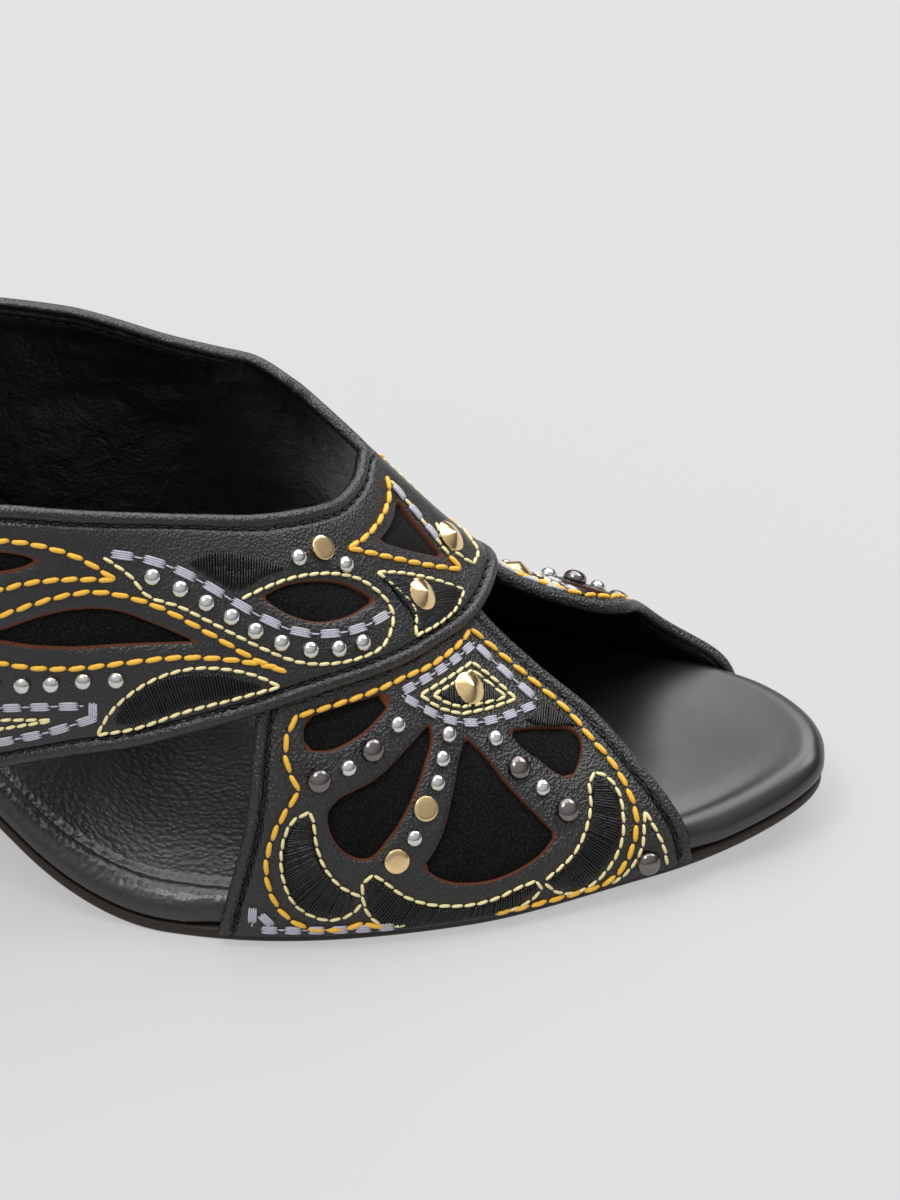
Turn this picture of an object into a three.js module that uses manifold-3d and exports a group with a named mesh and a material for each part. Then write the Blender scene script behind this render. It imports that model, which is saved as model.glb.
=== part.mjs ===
// Heeled mule for the right foot: criss-cross upper, padded insole, thin outsole and a slim covered heel.
// Millimetres. The toe points along +X, the outer (lateral) side of the foot is -Y, and +Z is up.
// A station is the distance behind the toe tip. A girth runs from -1 at the outer edge of the sole,
// over 0 at the crest of the foot, to +1 at the inner edge.
import * as THREE from 'three';
import Module from 'manifold-3d';

const shoeLength = 220;
const jointGap = 0.3;

// Sole stack
const outsoleThickness = 2.0;
const outsoleBevel = 0.5;
const insoleThickness = 4.8;
const shoulderDrop = 0.35;
const shoulderInset = 1.4;
const sockInset = 4.2;
const sockGroove = 0.35;
const sockGrooveWidth = 0.6;
const sockGrooveFade = 0.3;

// Wrapped side of the insole: share of its thickness, and how far it stands in from the upper
const insoleSide = [
  { share: 0.0, inset: 0.3 },
  { share: 0.35, inset: 0.05 },
  { share: 0.75, inset: 0.35 },
];

// Side profile of the sole: toe spring, flat tread, steep shank and the gentler heel seat
const toeSpring = 6.0;
const treadStart = 50;
const treadEnd = 95;
const shankStart = 118;
const shankEnd = 152;
const seatStart = 178;
const shankSlope = 0.92;
const seatSlope = 0.33;

// Rounded ends of the sole outline
const toeRound = { length: 24, power: 2.1 };
const heelRound = { length: 26, power: 2.2 };
const endTrim = 0.2;

// Upper
const wall = 1.8;
const bandLift = 1.3;
const bandLiftFull = 0.64;
const bandLiftNone = 0.92;
const rollShare = 0.8;
const girthSteps = 44;
const insideSteps = 7;

// Inner side of the foot: it falls away from the crest at once, most of all between two stations
const innerFall = { start: 40, full: 64, ease: 62, end: 93, turn: 0.8, drawIn: 0.15 };

// Studs of the inner side stand nearer to the crest on the legs and further from it on the band; the shift
// fades out towards the sole
const innerShift = {
  band: { girth: 0.06, station: 2.0, full: 0.4, none: 0.8 },
  leg: { girth: -0.19, station: -3.6, full: 0.5, none: 0.8 },
};

// Heel
const heelBreast = 176;
const heelBack = 218.4;
const heelInset = 0.4;
const heelTip = { front: 189, back: 210, halfWidth: 11, side: -0.8, roundTo: 0.985, power: 2.6 };
const topPieceThickness = 6.0;
const topPieceBevel = 0.6;
const topPieceInset = 0.1;
const heelLevels = 9;
const heelSides = 14;
const heelFlare = 1.9;

// Last: half widths of the sole outline on each side, the crest of the foot (its side position and its
// height over the sole edge), and the ledge of the outsole
const sections = [
  { station: 0, lateral: 12.5, medial: 20.0, crestSide: 4, crestUp: 12.5, ledge: 0.1 },
  { station: 24, lateral: 21.9, medial: 27.3, crestSide: 9, crestUp: 18.5, ledge: 0.2 },
  { station: 50, lateral: 35.2, medial: 34.0, crestSide: 8, crestUp: 29.4, ledge: 0.25 },
  { station: 82, lateral: 43.4, medial: 35.6, crestSide: 6, crestUp: 60.2, ledge: 0.3 },
  { station: 110, lateral: 41.0, medial: 29.6, crestSide: 4, crestUp: 77.0, ledge: 0.3 },
  { station: 140, lateral: 33.2, medial: 24.5, crestSide: 2, crestUp: 80.5, ledge: 0.5 },
  { station: 180, lateral: 26.8, medial: 24.5, crestSide: 0, crestUp: 78.5, ledge: 0.5 },
  { station: 220, lateral: 27.5, medial: 25.5, crestSide: -1, crestUp: 76.5, ledge: 0.4 },
];

// Upper pattern: stations of the front and back edges of the instep band and of the toe legs, by the share
// of the girth from the crest to the sole
const outerEdges = [
  { girth: 0.0, bandFront: 53.0, bandBack: 74.2, legFront: 58.0, legBack: 66.0 },
  { girth: 0.1, bandFront: 53.5, bandBack: 74.4, legFront: 57.0, legBack: 67.5 },
  { girth: 0.2, bandFront: 55.3, bandBack: 77.6, legFront: 45.5, legBack: 70.0 },
  { girth: 0.3, bandFront: 59.0, bandBack: 86.3, legFront: 36.5, legBack: 74.0 },
  { girth: 0.4, bandFront: 63.7, bandBack: 102.0, legFront: 31.2, legBack: 78.0 },
  { girth: 0.5, bandFront: 70.7, bandBack: 114.9, legFront: 27.2, legBack: 80.5 },
  { girth: 0.6, bandFront: 80.4, bandBack: 126.0, legFront: 23.8, legBack: 82.0 },
  { girth: 0.8, bandFront: 109.0, bandBack: 151.0, legFront: 19.5, legBack: 83.0 },
  { girth: 1.0, bandFront: 128.0, bandBack: 175.0, legFront: 18.3, legBack: 87.0 },
];
const innerEdges = [
  { girth: 0.0, bandFront: 53.0, bandBack: 74.2, legFront: 58.0, legBack: 66.0 },
  { girth: 0.1, bandFront: 54.2, bandBack: 81.6, legFront: 38.5, legBack: 67.0 },
  { girth: 0.2, bandFront: 57.0, bandBack: 85.2, legFront: 33.0, legBack: 68.5 },
  { girth: 0.3, bandFront: 60.5, bandBack: 89.6, legFront: 31.6, legBack: 70.5 },
  { girth: 0.4, bandFront: 64.0, bandBack: 101.6, legFront: 31.0, legBack: 72.5 },
  { girth: 0.5, bandFront: 68.0, bandBack: 114.6, legFront: 30.0, legBack: 74.5 },
  { girth: 0.6, bandFront: 73.0, bandBack: 125.6, legFront: 28.0, legBack: 76.8 },
  { girth: 0.8, bandFront: 90.0, bandBack: 150.0, legFront: 18.8, legBack: 82.0 },
  { girth: 1.0, bandFront: 113.0, bandBack: 175.0, legFront: 15.7, legBack: 87.0 },
];

// Rolled and stitched strap edge: distance from the edge, outer face and inner face over the last
const edgeRoll = [
  { from: 0.0, outer: 1.2, inner: 0.6 },
  { from: 0.5, outer: 1.75, inner: 0.1 },
  { from: 1.2, outer: 1.95, inner: 0.0 },
  { from: 2.1, outer: 1.45, inner: 0.0 },
  { from: 2.9, outer: 1.8, inner: 0.0 },
];

// Larger studs of the outer side, repeated on the inner side; the centre stud stands alone
const studKinds = {
  cone: { radius: 2.6, rim: 0.4, height: 1.9, sides: 10, rings: 1, finish: 'gold' },
  flat: { radius: 1.95, rim: 0.5, height: 0.9, sides: 10, rings: 2, finish: 'gold' },
  dome: { radius: 1.9, rim: 0.4, height: 1.6, sides: 10, rings: 3, finish: 'gunmetal' },
};
const studs = [
  { name: 'band_flat', kind: 'flat', strap: 'band', station: 76.8, girth: 0.29 },
  { name: 'band_cone', kind: 'cone', strap: 'band', station: 63, girth: 0.23 },
  { name: 'eye_cone', kind: 'cone', strap: 'leg', station: 53.8, girth: 0.36 },
  { name: 'fan_flat_upper', kind: 'flat', strap: 'leg', station: 57.8, girth: 0.682 },
  { name: 'fan_flat_lower', kind: 'flat', strap: 'leg', station: 61.2, girth: 0.815 },
  { name: 'fan_dome_back', kind: 'dome', strap: 'leg', station: 65.8, girth: 0.593 },
  { name: 'fan_dome_side', kind: 'dome', strap: 'leg', station: 73, girth: 0.689 },
  { name: 'fan_dome_front', kind: 'dome', strap: 'leg', station: 45.1, girth: 0.531 },
  { name: 'fan_dome_toe', kind: 'dome', strap: 'leg', station: 37, girth: 0.66 },
  { name: 'corner_dome', kind: 'dome', strap: 'leg', station: 24.7, girth: 0.935 },
];
const centreStud = { name: 'centre_cone', kind: 'cone', strap: 'band', station: 60.8, girth: 0.03 };

const finishes = {
  outsole: { color: 0x2a1b14, roughness: 0.55, metalness: 0 },
  insole: { color: 0x1b1b1e, roughness: 0.45, metalness: 0 },
  leather: { color: 0x17171a, roughness: 0.5, metalness: 0 },
  rubber: { color: 0x101010, roughness: 0.8, metalness: 0 },
  gold: { color: 0xd9b878, roughness: 0.25, metalness: 1 },
  gunmetal: { color: 0x5c5a5e, roughness: 0.25, metalness: 1 },
};

// Smooth curve through one column of a table
function read(table, key, column, at) {
  const last = table.length - 1;
  const x = THREE.MathUtils.clamp(at, table[0][key], table[last][key]);
  let i = 0;
  while (i < last - 1 && x > table[i + 1][key]) i += 1;
  const step = (k) => table[k + 1][key] - table[k][key];
  const rise = (k) => (table[k + 1][column] - table[k][column]) / step(k);
  const slope = (k) => {
    if (k === 0) return rise(0);
    if (k === last) return rise(last - 1);
    return (rise(k - 1) * step(k) + rise(k) * step(k - 1)) / (step(k - 1) + step(k));
  };
  const t = (x - table[i][key]) / step(i);
  const s = 1 - t;
  const ends = table[i][column] * (1 + 2 * t) * s * s + table[i + 1][column] * t * t * (3 - 2 * t);
  return ends + step(i) * (slope(i) * t * s * s - slope(i + 1) * t * t * s);
}

const section = (column, station) => read(sections, 'station', column, station);
const smooth = THREE.MathUtils.smoothstep;

function strapEdge(column, girth) {
  return read(girth < 0 ? outerEdges : innerEdges, 'girth', column, Math.abs(girth));
}

// Height gained past a bend that turns from flat to a slope of one between two stations
function bend(station, start, end) {
  if (station <= start) return 0;
  if (station < end) return (station - start) ** 2 / (2 * (end - start));
  return station - (start + end) / 2;
}

function soleBottom(station) {
  const spring = toeSpring * Math.max(0, 1 - station / treadStart) ** 2;
  const shank = shankSlope * bend(station, treadEnd, shankStart);
  return spring + shank - (shankSlope - seatSlope) * bend(station, shankEnd, seatStart);
}

function endFactor(station) {
  const toe = Math.max(0, 1 - station / toeRound.length);
  const heel = Math.max(0, 1 - (shoeLength - station) / heelRound.length);
  const toeFactor = (1 - toe ** toeRound.power) ** (1 / toeRound.power);
  return toeFactor * (1 - heel ** heelRound.power) ** (1 / heelRound.power);
}

// Side position of the sole edge: side -1 is the outer edge, +1 the inner edge
function soleEdge(station, side) {
  return side * section(side < 0 ? 'lateral' : 'medial', station) * endFactor(station);
}

const soleTop = (station) => soleBottom(station) + outsoleThickness;
const featherHeight = (station) => soleTop(station) + jointGap;

function innerFallAt(station) {
  const fallen = smooth(station, innerFall.start, innerFall.full);
  return fallen * (1 - smooth(station, innerFall.ease, innerFall.end));
}

// Point of the last: a quarter ellipse on each side of the crest, which starts part of the way round
// where the inner side falls away
function lastPoint(station, girth) {
  const fall = girth > 0 ? innerFallAt(station) : 0;
  const start = innerFall.turn * fall;
  const turn = (1 - Math.abs(girth)) * (Math.PI / 2 - start);
  const size = 1 - innerFall.drawIn * fall * Math.sin(girth * Math.PI) ** 2;
  const crest = section('crestSide', station);
  const reach = soleEdge(station, girth < 0 ? -1 : 1) - crest;
  const y = crest + reach * size * (Math.cos(turn) - Math.sin(start)) / (1 - Math.sin(start));
  const z = featherHeight(station) + section('crestUp', station) * size * Math.sin(turn) / Math.cos(start);
  return new THREE.Vector3(-station, y, z);
}

function lastNormal(station, girth) {
  const nudge = 0.01;
  const low = Math.max(-1, girth - nudge);
  const high = Math.min(1, girth + nudge);
  const across = lastPoint(station, high).sub(lastPoint(station, low));
  const along = lastPoint(station + nudge, girth).sub(lastPoint(station - nudge, girth));
  return across.cross(along).normalize();
}

// Point at a height over the last, never lower than the seat on the outsole
function overLast(station, girth, offset) {
  const point = lastPoint(station, girth).addScaledVector(lastNormal(station, girth), offset);
  point.z = Math.max(point.z, featherHeight(-point.x));
  return point;
}

// Straps: the band lies on the toe legs where it crosses them
const straps = {
  band: {
    front: (girth) => strapEdge('bandFront', girth),
    back: (girth) => strapEdge('bandBack', girth),
    lift: (girth) => bandLift * (1 - smooth(Math.abs(girth), bandLiftFull, bandLiftNone)),
  },
  leg: {
    front: (girth) => strapEdge('legFront', girth),
    back: (girth) => strapEdge('legBack', girth),
    lift: () => 0,
  },
};

// Stations passed for each millimetre square to a strap edge
function edgeStep(edge, girth) {
  const nudge = 0.01;
  const low = Math.max(-1, girth - nudge);
  const high = Math.min(1, girth + nudge);
  const tangent = lastPoint(edge(high), high).sub(lastPoint(edge(low), low)).normalize();
  const along = lastPoint(edge(girth) + nudge, girth).sub(lastPoint(edge(girth), girth)).divideScalar(nudge);
  return 1 / along.projectOnPlane(tangent).length();
}

function strapRing(strap, girth) {
  const front = strap.front(girth);
  const back = strap.back(girth);
  const fromFront = edgeStep(strap.front, girth);
  const fromBack = edgeStep(strap.back, girth);
  const span = edgeRoll[edgeRoll.length - 1].from * (fromFront + fromBack);
  const squeeze = Math.min(1, (back - front) * rollShare / span);
  const rows = edgeRoll.map((row) => ({ ...row, at: front + row.from * fromFront * squeeze }));
  const tail = edgeRoll.map((row) => ({ ...row, at: back - row.from * fromBack * squeeze })).reverse();
  const start = rows[rows.length - 1].at;
  for (let i = 1; i < insideSteps; i += 1) {
    const at = THREE.MathUtils.lerp(start, tail[0].at, i / insideSteps);
    rows.push({ at, outer: wall, inner: 0 });
  }
  rows.push(...tail);
  const lift = strap.lift(girth);
  const outer = rows.map((row) => overLast(row.at, girth, lift + row.outer));
  const inner = rows.map((row) => overLast(row.at, girth, lift + row.inner));
  return [...outer, ...inner.reverse()];
}

// Closed solid through rings of points; the end caps join each point with its partner across the ring
function loft(rings) {
  const count = rings[0].length;
  const index = [];
  const quad = (a, b, c, d) => index.push(a, b, c, a, c, d);
  for (let r = 0; r + 1 < rings.length; r += 1) {
    for (let i = 0; i < count; i += 1) {
      const next = (i + 1) % count;
      quad(r * count + i, r * count + next, (r + 1) * count + next, (r + 1) * count + i);
    }
  }
  const end = (rings.length - 1) * count;
  for (let i = 0; i + 1 < count / 2; i += 1) {
    const across = count - 1 - i;
    quad(across, across - 1, i + 1, i);
    quad(end + i, end + i + 1, end + across - 1, end + across);
  }
  const geometry = new THREE.BufferGeometry().setFromPoints(rings.flat());
  geometry.setIndex(signedVolume(rings.flat(), index) < 0 ? index.reverse() : index);
  return geometry;
}

function signedVolume(points, index) {
  let sum = 0;
  for (let i = 0; i < index.length; i += 3) {
    const [a, b, c] = [points[index[i]], points[index[i + 1]], points[index[i + 2]]];
    sum += a.dot(b.clone().cross(c));
  }
  return sum / 6;
}

// Stations along the sole, closer together at the round ends and in the bend of the shank
function soleStations() {
  const fromEnd = (t) => 1 - Math.cos(t * Math.PI / 2);
  const toEnd = (t) => Math.sin(t * Math.PI / 2);
  const even = (t) => t;
  const spans = [
    { to: toeRound.length, steps: 9, spacing: fromEnd },
    { to: treadStart, steps: 3, spacing: even },
    { to: treadEnd, steps: 4, spacing: even },
    { to: shankStart, steps: 5, spacing: even },
    { to: shankEnd, steps: 4, spacing: even },
    { to: seatStart, steps: 4, spacing: even },
    { to: shoeLength - heelRound.length, steps: 2, spacing: even },
    { to: shoeLength - endTrim, steps: 9, spacing: toEnd },
  ];
  const stations = [endTrim];
  for (const { to, steps, spacing } of spans) {
    const from = stations[stations.length - 1];
    for (let i = 1; i <= steps; i += 1) stations.push(from + (to - from) * spacing(i / steps));
  }
  return stations;
}

function outsoleGeometry() {
  const ring = (station) => {
    const ledge = section('ledge', station) * endFactor(station);
    const outer = soleEdge(station, -1) - ledge;
    const inner = soleEdge(station, 1) + ledge;
    const bevel = Math.min(outsoleBevel, (inner - outer) / 4);
    const bottom = soleBottom(station);
    const at = (y, z) => new THREE.Vector3(-station, y, z);
    return [
      at(outer, bottom + outsoleThickness),
      at(THREE.MathUtils.lerp(outer, inner, 0.5), bottom + outsoleThickness),
      at(inner, bottom + outsoleThickness),
      at(inner, bottom + bevel),
      at(inner - bevel, bottom),
      at(THREE.MathUtils.lerp(outer, inner, 0.5), bottom),
      at(outer + bevel, bottom),
      at(outer, bottom + bevel),
    ];
  };
  return loft(soleStations().map(ring));
}

// Inner face of the upper at a height over the sole edge, which the insole keeps clear of
function wallInside(station, side, height) {
  const halvings = 30;
  let above = 0;
  let below = 1;
  for (let i = 0; i < halvings; i += 1) {
    const girth = (above + below) / 2;
    if (lastPoint(station, side * girth).z > featherHeight(station) + height) above = girth;
    else below = girth;
  }
  return lastPoint(station, side * below).y;
}

function insoleGeometry() {
  const ring = (station) => {
    const base = featherHeight(station);
    const narrow = (soleEdge(station, 1) - soleEdge(station, -1)) / 2;
    const fit = Math.min(1, narrow / (2 * sockInset));
    const groove = sockGroove * smooth(fit, sockGrooveFade, 1);
    const edge = (side, height, inset) => {
      const y = wallInside(station, side, height * fit) - side * (jointGap + inset) * fit;
      return new THREE.Vector3(-station, y, base + height);
    };
    const profile = (side) => [
      ...insoleSide.map((row) => edge(side, insoleThickness * row.share, row.inset)),
      edge(side, insoleThickness - shoulderDrop, shoulderInset),
      edge(side, insoleThickness - shoulderDrop / 2 - groove, sockInset - sockGrooveWidth),
      edge(side, insoleThickness, sockInset),
    ];
    return [...profile(-1), ...profile(1).reverse()];
  };
  return loft(soleStations().map(ring));
}

// Heel: a horseshoe under the seat that narrows to the top piece, with curved breast, sides and back
function heelOutline(part) {
  const left = [];
  const right = [];
  for (let i = 0; i <= heelSides; i += 1) {
    const along = Math.sin(i / heelSides * Math.PI / 2);
    left.push(part(along, -1));
    right.push(part(along, 1));
  }
  return [...left, ...right.reverse()];
}

function seatPoint(along, side) {
  const station = THREE.MathUtils.lerp(heelBreast, heelBack, along);
  const y = soleEdge(station, side) - side * heelInset;
  return new THREE.Vector3(-station, y, soleBottom(station) - jointGap);
}

function tipPoint(along, side, inset, height) {
  const middle = (heelTip.front + heelTip.back) / 2;
  const half = (heelTip.back - heelTip.front) / 2;
  const station = middle + (2 * along - 1) * (half - inset);
  const round = (1 - (along * heelTip.roundTo) ** heelTip.power) ** (1 / heelTip.power);
  return new THREE.Vector3(-station, heelTip.side + side * (heelTip.halfWidth - inset) * round, height);
}

function heelGeometry() {
  const foot = topPieceThickness + jointGap;
  const levels = [];
  for (let i = 0; i <= heelLevels; i += 1) {
    const up = i / heelLevels;
    const spread = up ** heelFlare;
    levels.push(heelOutline((along, side) => {
      const low = tipPoint(along, side, 0, foot);
      const high = seatPoint(along, side);
      const point = low.clone().lerp(high, spread);
      point.z = THREE.MathUtils.lerp(low.z, high.z, up);
      return point;
    }));
  }
  return loft(levels);
}

function topPieceGeometry() {
  const rows = [
    { inset: topPieceBevel, height: 0 },
    { inset: topPieceInset, height: topPieceBevel },
    { inset: topPieceInset, height: topPieceThickness },
  ];
  return loft(rows.map((row) => heelOutline((along, side) => tipPoint(along, side, row.inset, row.height))));
}

function strapGeometry(strap) {
  const rings = [];
  for (let i = 0; i <= girthSteps; i += 1) rings.push(strapRing(strap, 2 * i / girthSteps - 1));
  return loft(rings);
}

// Joins two closed solids
const wasm = await Module();
wasm.setup();

function solid(geometry) {
  const vertProperties = Float32Array.from(geometry.attributes.position.array);
  const triVerts = Uint32Array.from(geometry.index.array);
  return new wasm.Manifold(new wasm.Mesh({ numProp: 3, vertProperties, triVerts }));
}

function joined(first, second) {
  const mesh = solid(first).add(solid(second)).getMesh();
  const geometry = new THREE.BufferGeometry();
  geometry.setAttribute('position', new THREE.BufferAttribute(mesh.vertProperties, 3));
  geometry.setIndex(new THREE.BufferAttribute(mesh.triVerts, 1));
  return geometry;
}

const shoe = new THREE.Group();

function addPart(name, geometry, finish) {
  geometry.computeVertexNormals();
  const mesh = new THREE.Mesh(geometry, new THREE.MeshStandardMaterial(finishes[finish]));
  mesh.name = name;
  shoe.add(mesh);
  return mesh;
}

// A stud stands on its strap along the strap's own normal
function studGeometry(kind) {
  const profile = [new THREE.Vector2(0, 0), new THREE.Vector2(kind.radius, 0)];
  for (let i = 0; i < kind.rings; i += 1) {
    const turn = i / kind.rings * Math.PI / 2;
    const rise = (kind.height - kind.rim) * Math.sin(turn);
    profile.push(new THREE.Vector2(kind.radius * Math.cos(turn), kind.rim + rise));
  }
  profile.push(new THREE.Vector2(0, kind.height));
  return new THREE.LatheGeometry(profile, kind.sides).rotateX(Math.PI / 2);
}

function studPlace(row, side) {
  if (side < 0) return { station: row.station, girth: -row.girth };
  const shift = innerShift[row.strap];
  const share = 1 - smooth(row.girth, shift.full, shift.none);
  return { station: row.station + shift.station * share, girth: row.girth + shift.girth * share };
}

function addStud(row, side) {
  const kind = studKinds[row.kind];
  const { station, girth } = studPlace(row, side);
  const stud = addPart(row.name, studGeometry(kind), kind.finish);
  const seat = straps[row.strap].lift(girth) + wall + jointGap;
  stud.position.copy(overLast(station, girth, seat));
  stud.quaternion.setFromUnitVectors(new THREE.Vector3(0, 0, 1), lastNormal(station, girth));
}

addPart('outsole', outsoleGeometry(), 'outsole');
addPart('insole', insoleGeometry(), 'insole');
addPart('upper', joined(strapGeometry(straps.leg), strapGeometry(straps.band)), 'leather');
addPart('heel', heelGeometry(), 'leather');
addPart('heel_top_piece', topPieceGeometry(), 'rubber');
for (const [side, suffix] of [[-1, 'lateral'], [1, 'medial']]) {
  for (const row of studs) addStud({ ...row, name: `stud_${row.name}_${suffix}` }, side);
}
addStud({ ...centreStud, name: `stud_${centreStud.name}` }, -1);

// Origin: middle of the footprint box, on the floor
const box = new THREE.Box3().setFromObject(shoe, true);
const middle = box.getCenter(new THREE.Vector3());
shoe.position.set(-middle.x, -middle.y, -box.min.z);

export default shoe;
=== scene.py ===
import math

import bmesh
import bpy
import numpy as np
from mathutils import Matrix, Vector
from mathutils.geometry import delaunay_2d_cdt
from mathutils.kdtree import KDTree


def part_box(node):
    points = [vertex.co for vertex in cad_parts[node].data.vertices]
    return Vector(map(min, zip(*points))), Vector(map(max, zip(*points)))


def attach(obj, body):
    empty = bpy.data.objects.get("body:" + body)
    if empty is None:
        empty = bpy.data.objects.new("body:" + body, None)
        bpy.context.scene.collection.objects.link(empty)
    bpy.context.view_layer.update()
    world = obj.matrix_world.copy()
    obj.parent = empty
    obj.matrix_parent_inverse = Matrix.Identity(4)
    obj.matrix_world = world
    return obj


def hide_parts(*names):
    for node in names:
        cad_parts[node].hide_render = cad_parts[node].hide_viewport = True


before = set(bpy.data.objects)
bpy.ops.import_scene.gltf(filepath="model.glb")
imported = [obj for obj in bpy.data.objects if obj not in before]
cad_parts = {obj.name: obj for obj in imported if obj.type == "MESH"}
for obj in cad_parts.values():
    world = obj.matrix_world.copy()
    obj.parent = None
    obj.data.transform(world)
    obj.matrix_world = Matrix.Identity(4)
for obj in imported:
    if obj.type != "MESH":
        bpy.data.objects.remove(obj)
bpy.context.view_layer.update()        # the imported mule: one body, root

scene = bpy.context.scene
mm = 0.001
weldDistance = 0.002 * mm
nudge = 0.01  # small step in station or girth to take a direction
print("frame loaded:", len(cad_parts), "nodes")


# Small tools

def hexColor(code):
    parts = [int(code[i:i + 2], 16) / 255 for i in (0, 2, 4)]
    return [p / 12.92 if p <= 0.04045 else ((p + 0.055) / 1.055) ** 2.4 for p in parts] + [1.0]


def addNode(tree, kind, settings=None, links=None):
    node = tree.nodes.new(kind)
    for name, value in (settings or {}).items():
        if isinstance(name, str) and hasattr(node, name):
            setattr(node, name, value)
        else:
            node.inputs[name].default_value = value
    for name, source in (links or {}).items():
        tree.links.new(source, node.inputs[name])
    return node


def smoothStep(value, start, end):
    t = np.clip((value - start) / (end - start), 0, 1)
    return t * t * (3 - 2 * t)


def hermite(keys, values, at):  # smooth curve through the values, straight at its ends
    keys = np.asarray(keys, float)
    values = np.asarray(values, float)
    step = np.diff(keys)
    wide = step if values.ndim == 1 else step[:, None]
    rise = np.diff(values, axis=0) / wide
    slope = np.concatenate([rise[:1], rise[-1:]]) if len(keys) == 2 else np.concatenate([
        rise[:1], (rise[:-1] * wide[1:] + rise[1:] * wide[:-1]) / (wide[:-1] + wide[1:]), rise[-1:]])
    at = np.clip(at, keys[0], keys[-1])
    i = np.clip(np.searchsorted(keys, at) - 1, 0, len(step) - 1)
    t = (at - keys[i]) / step[i]
    if values.ndim > 1:
        t = t[..., None]
    s = 1 - t
    ends = values[i] * (1 + 2 * t) * s * s + values[i + 1] * t * t * (3 - 2 * t)
    return ends + wide[i] * (slope[i] * t * s * s - slope[i + 1] * t * t * s)


def lengthAlong(points):
    return np.concatenate([[0], np.cumsum(np.linalg.norm(np.diff(points, axis=0), axis=1))])


def pointTree(points):
    tree = KDTree(len(points))
    for i, p in enumerate(points):
        tree.insert((p[0], p[1], p[2] if len(p) > 2 else 0), i)
    tree.balance()
    return tree


def nearestDistance(tree, points):
    return np.array([tree.find((p[0], p[1], p[2] if len(p) > 2 else 0))[2] for p in points])


def insideLoop(points, loop):  # even-odd test of plan points against one closed loop
    inside = np.zeros(len(points), bool)
    low, high = loop.min(0), loop.max(0)
    near = np.flatnonzero(np.all((points >= low) & (points <= high), axis=1))
    if len(near):
        x, y = points[near, 0][:, None], points[near, 1][:, None]
        a, b = loop, np.roll(loop, -1, axis=0)
        crosses = (a[:, 1] > y) != (b[:, 1] > y)
        rise = np.where(b[:, 1] == a[:, 1], 1, b[:, 1] - a[:, 1])
        left = x < (b[:, 0] - a[:, 0]) * (y - a[:, 1]) / rise + a[:, 0]
        inside[near] = np.sum(crosses & left, axis=1) % 2 == 1
    return inside


def addPiece(name, points, faces, materials, faceMaterial=None, sharpAngle=None):
    mesh = bpy.data.meshes.new(name)
    mesh.from_pydata((np.asarray(points) * mm).tolist(), [], faces)
    for material in materials:
        mesh.materials.append(material)
    if faceMaterial is not None:
        mesh.polygons.foreach_set("material_index", np.asarray(faceMaterial, np.int32))
    work = bmesh.new()
    work.from_mesh(mesh)
    bmesh.ops.remove_doubles(work, verts=work.verts, dist=weldDistance)
    stray = [vertex for vertex in work.verts if not vertex.link_faces]
    bmesh.ops.delete(work, geom=stray, context="VERTS")
    bmesh.ops.recalc_face_normals(work, faces=work.faces)
    if work.calc_volume(signed=True) < 0:
        bmesh.ops.reverse_faces(work, faces=work.faces)
    work.to_mesh(mesh)
    work.free()
    mesh.shade_smooth()
    if sharpAngle:
        mesh.set_sharp_from_angle(angle=math.radians(sharpAngle))
    piece = bpy.data.objects.new(name, mesh)
    scene.collection.objects.link(piece)
    return piece


def finishPiece(piece, slot=None, *nodes):
    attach(piece, "root")
    if nodes:
        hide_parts(*nodes)
    print("piece", piece.name, len(piece.data.polygons), "faces")


# The last and the pattern of the upper, in millimetres, as the solids have them.
# A station is the distance behind the toe tip. A girth runs from -1 at the outer edge of the sole,
# over 0 at the crest of the foot, to +1 at the inner edge.

lastShape = {
    "length": 220, "gap": 0.3, "outsole": 2.0, "endTrim": 0.2, "wall": 1.8,
    "toeSpring": 6.0, "treadStart": 50, "treadEnd": 95, "shankStart": 118, "shankEnd": 152, "seatStart": 178,
    "shankSlope": 0.92, "seatSlope": 0.33, "toeRound": (24, 2.1), "heelRound": (26, 2.2),
    "bandLift": 1.3, "bandLiftFull": 0.64, "bandLiftNone": 0.92, "rollShare": 0.8,
}
innerFall = {"start": 40, "full": 64, "ease": 62, "end": 93, "turn": 0.8, "drawIn": 0.15}
innerShift = {
    "band": {"girth": 0.06, "station": 2.0, "full": 0.4, "none": 0.8},
    "leg": {"girth": -0.19, "station": -3.6, "full": 0.5, "none": 0.8},
}
innerMargins = {"line": 3.4, "window": 3.6, "stud": 4.6}
crestGap = 0.015  # least girth between the crest and an ornament of the inner side
sectionColumns = ("station", "lateral", "medial", "crestSide", "crestUp", "ledge")
sectionRows = np.array([
    (0, 12.5, 20.0, 4, 12.5, 0.1),
    (24, 21.9, 27.3, 9, 18.5, 0.2),
    (50, 35.2, 34.0, 8, 29.4, 0.25),
    (82, 43.4, 35.6, 6, 60.2, 0.3),
    (110, 41.0, 29.6, 4, 77.0, 0.3),
    (140, 33.2, 24.5, 2, 80.5, 0.5),
    (180, 26.8, 24.5, 0, 78.5, 0.5),
    (220, 27.5, 25.5, -1, 76.5, 0.4),
])
strapColumns = ("girth", "bandFront", "bandBack", "legFront", "legBack")
outerRows = np.array([
    (0.0, 53.0, 74.2, 58.0, 66.0),
    (0.1, 53.5, 74.4, 57.0, 67.5),
    (0.2, 55.3, 77.6, 45.5, 70.0),
    (0.3, 59.0, 86.3, 36.5, 74.0),
    (0.4, 63.7, 102.0, 31.2, 78.0),
    (0.5, 70.7, 114.9, 27.2, 80.5),
    (0.6, 80.4, 126.0, 23.8, 82.0),
    (0.8, 109.0, 151.0, 19.5, 83.0),
    (1.0, 128.0, 175.0, 18.3, 87.0),
])
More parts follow.
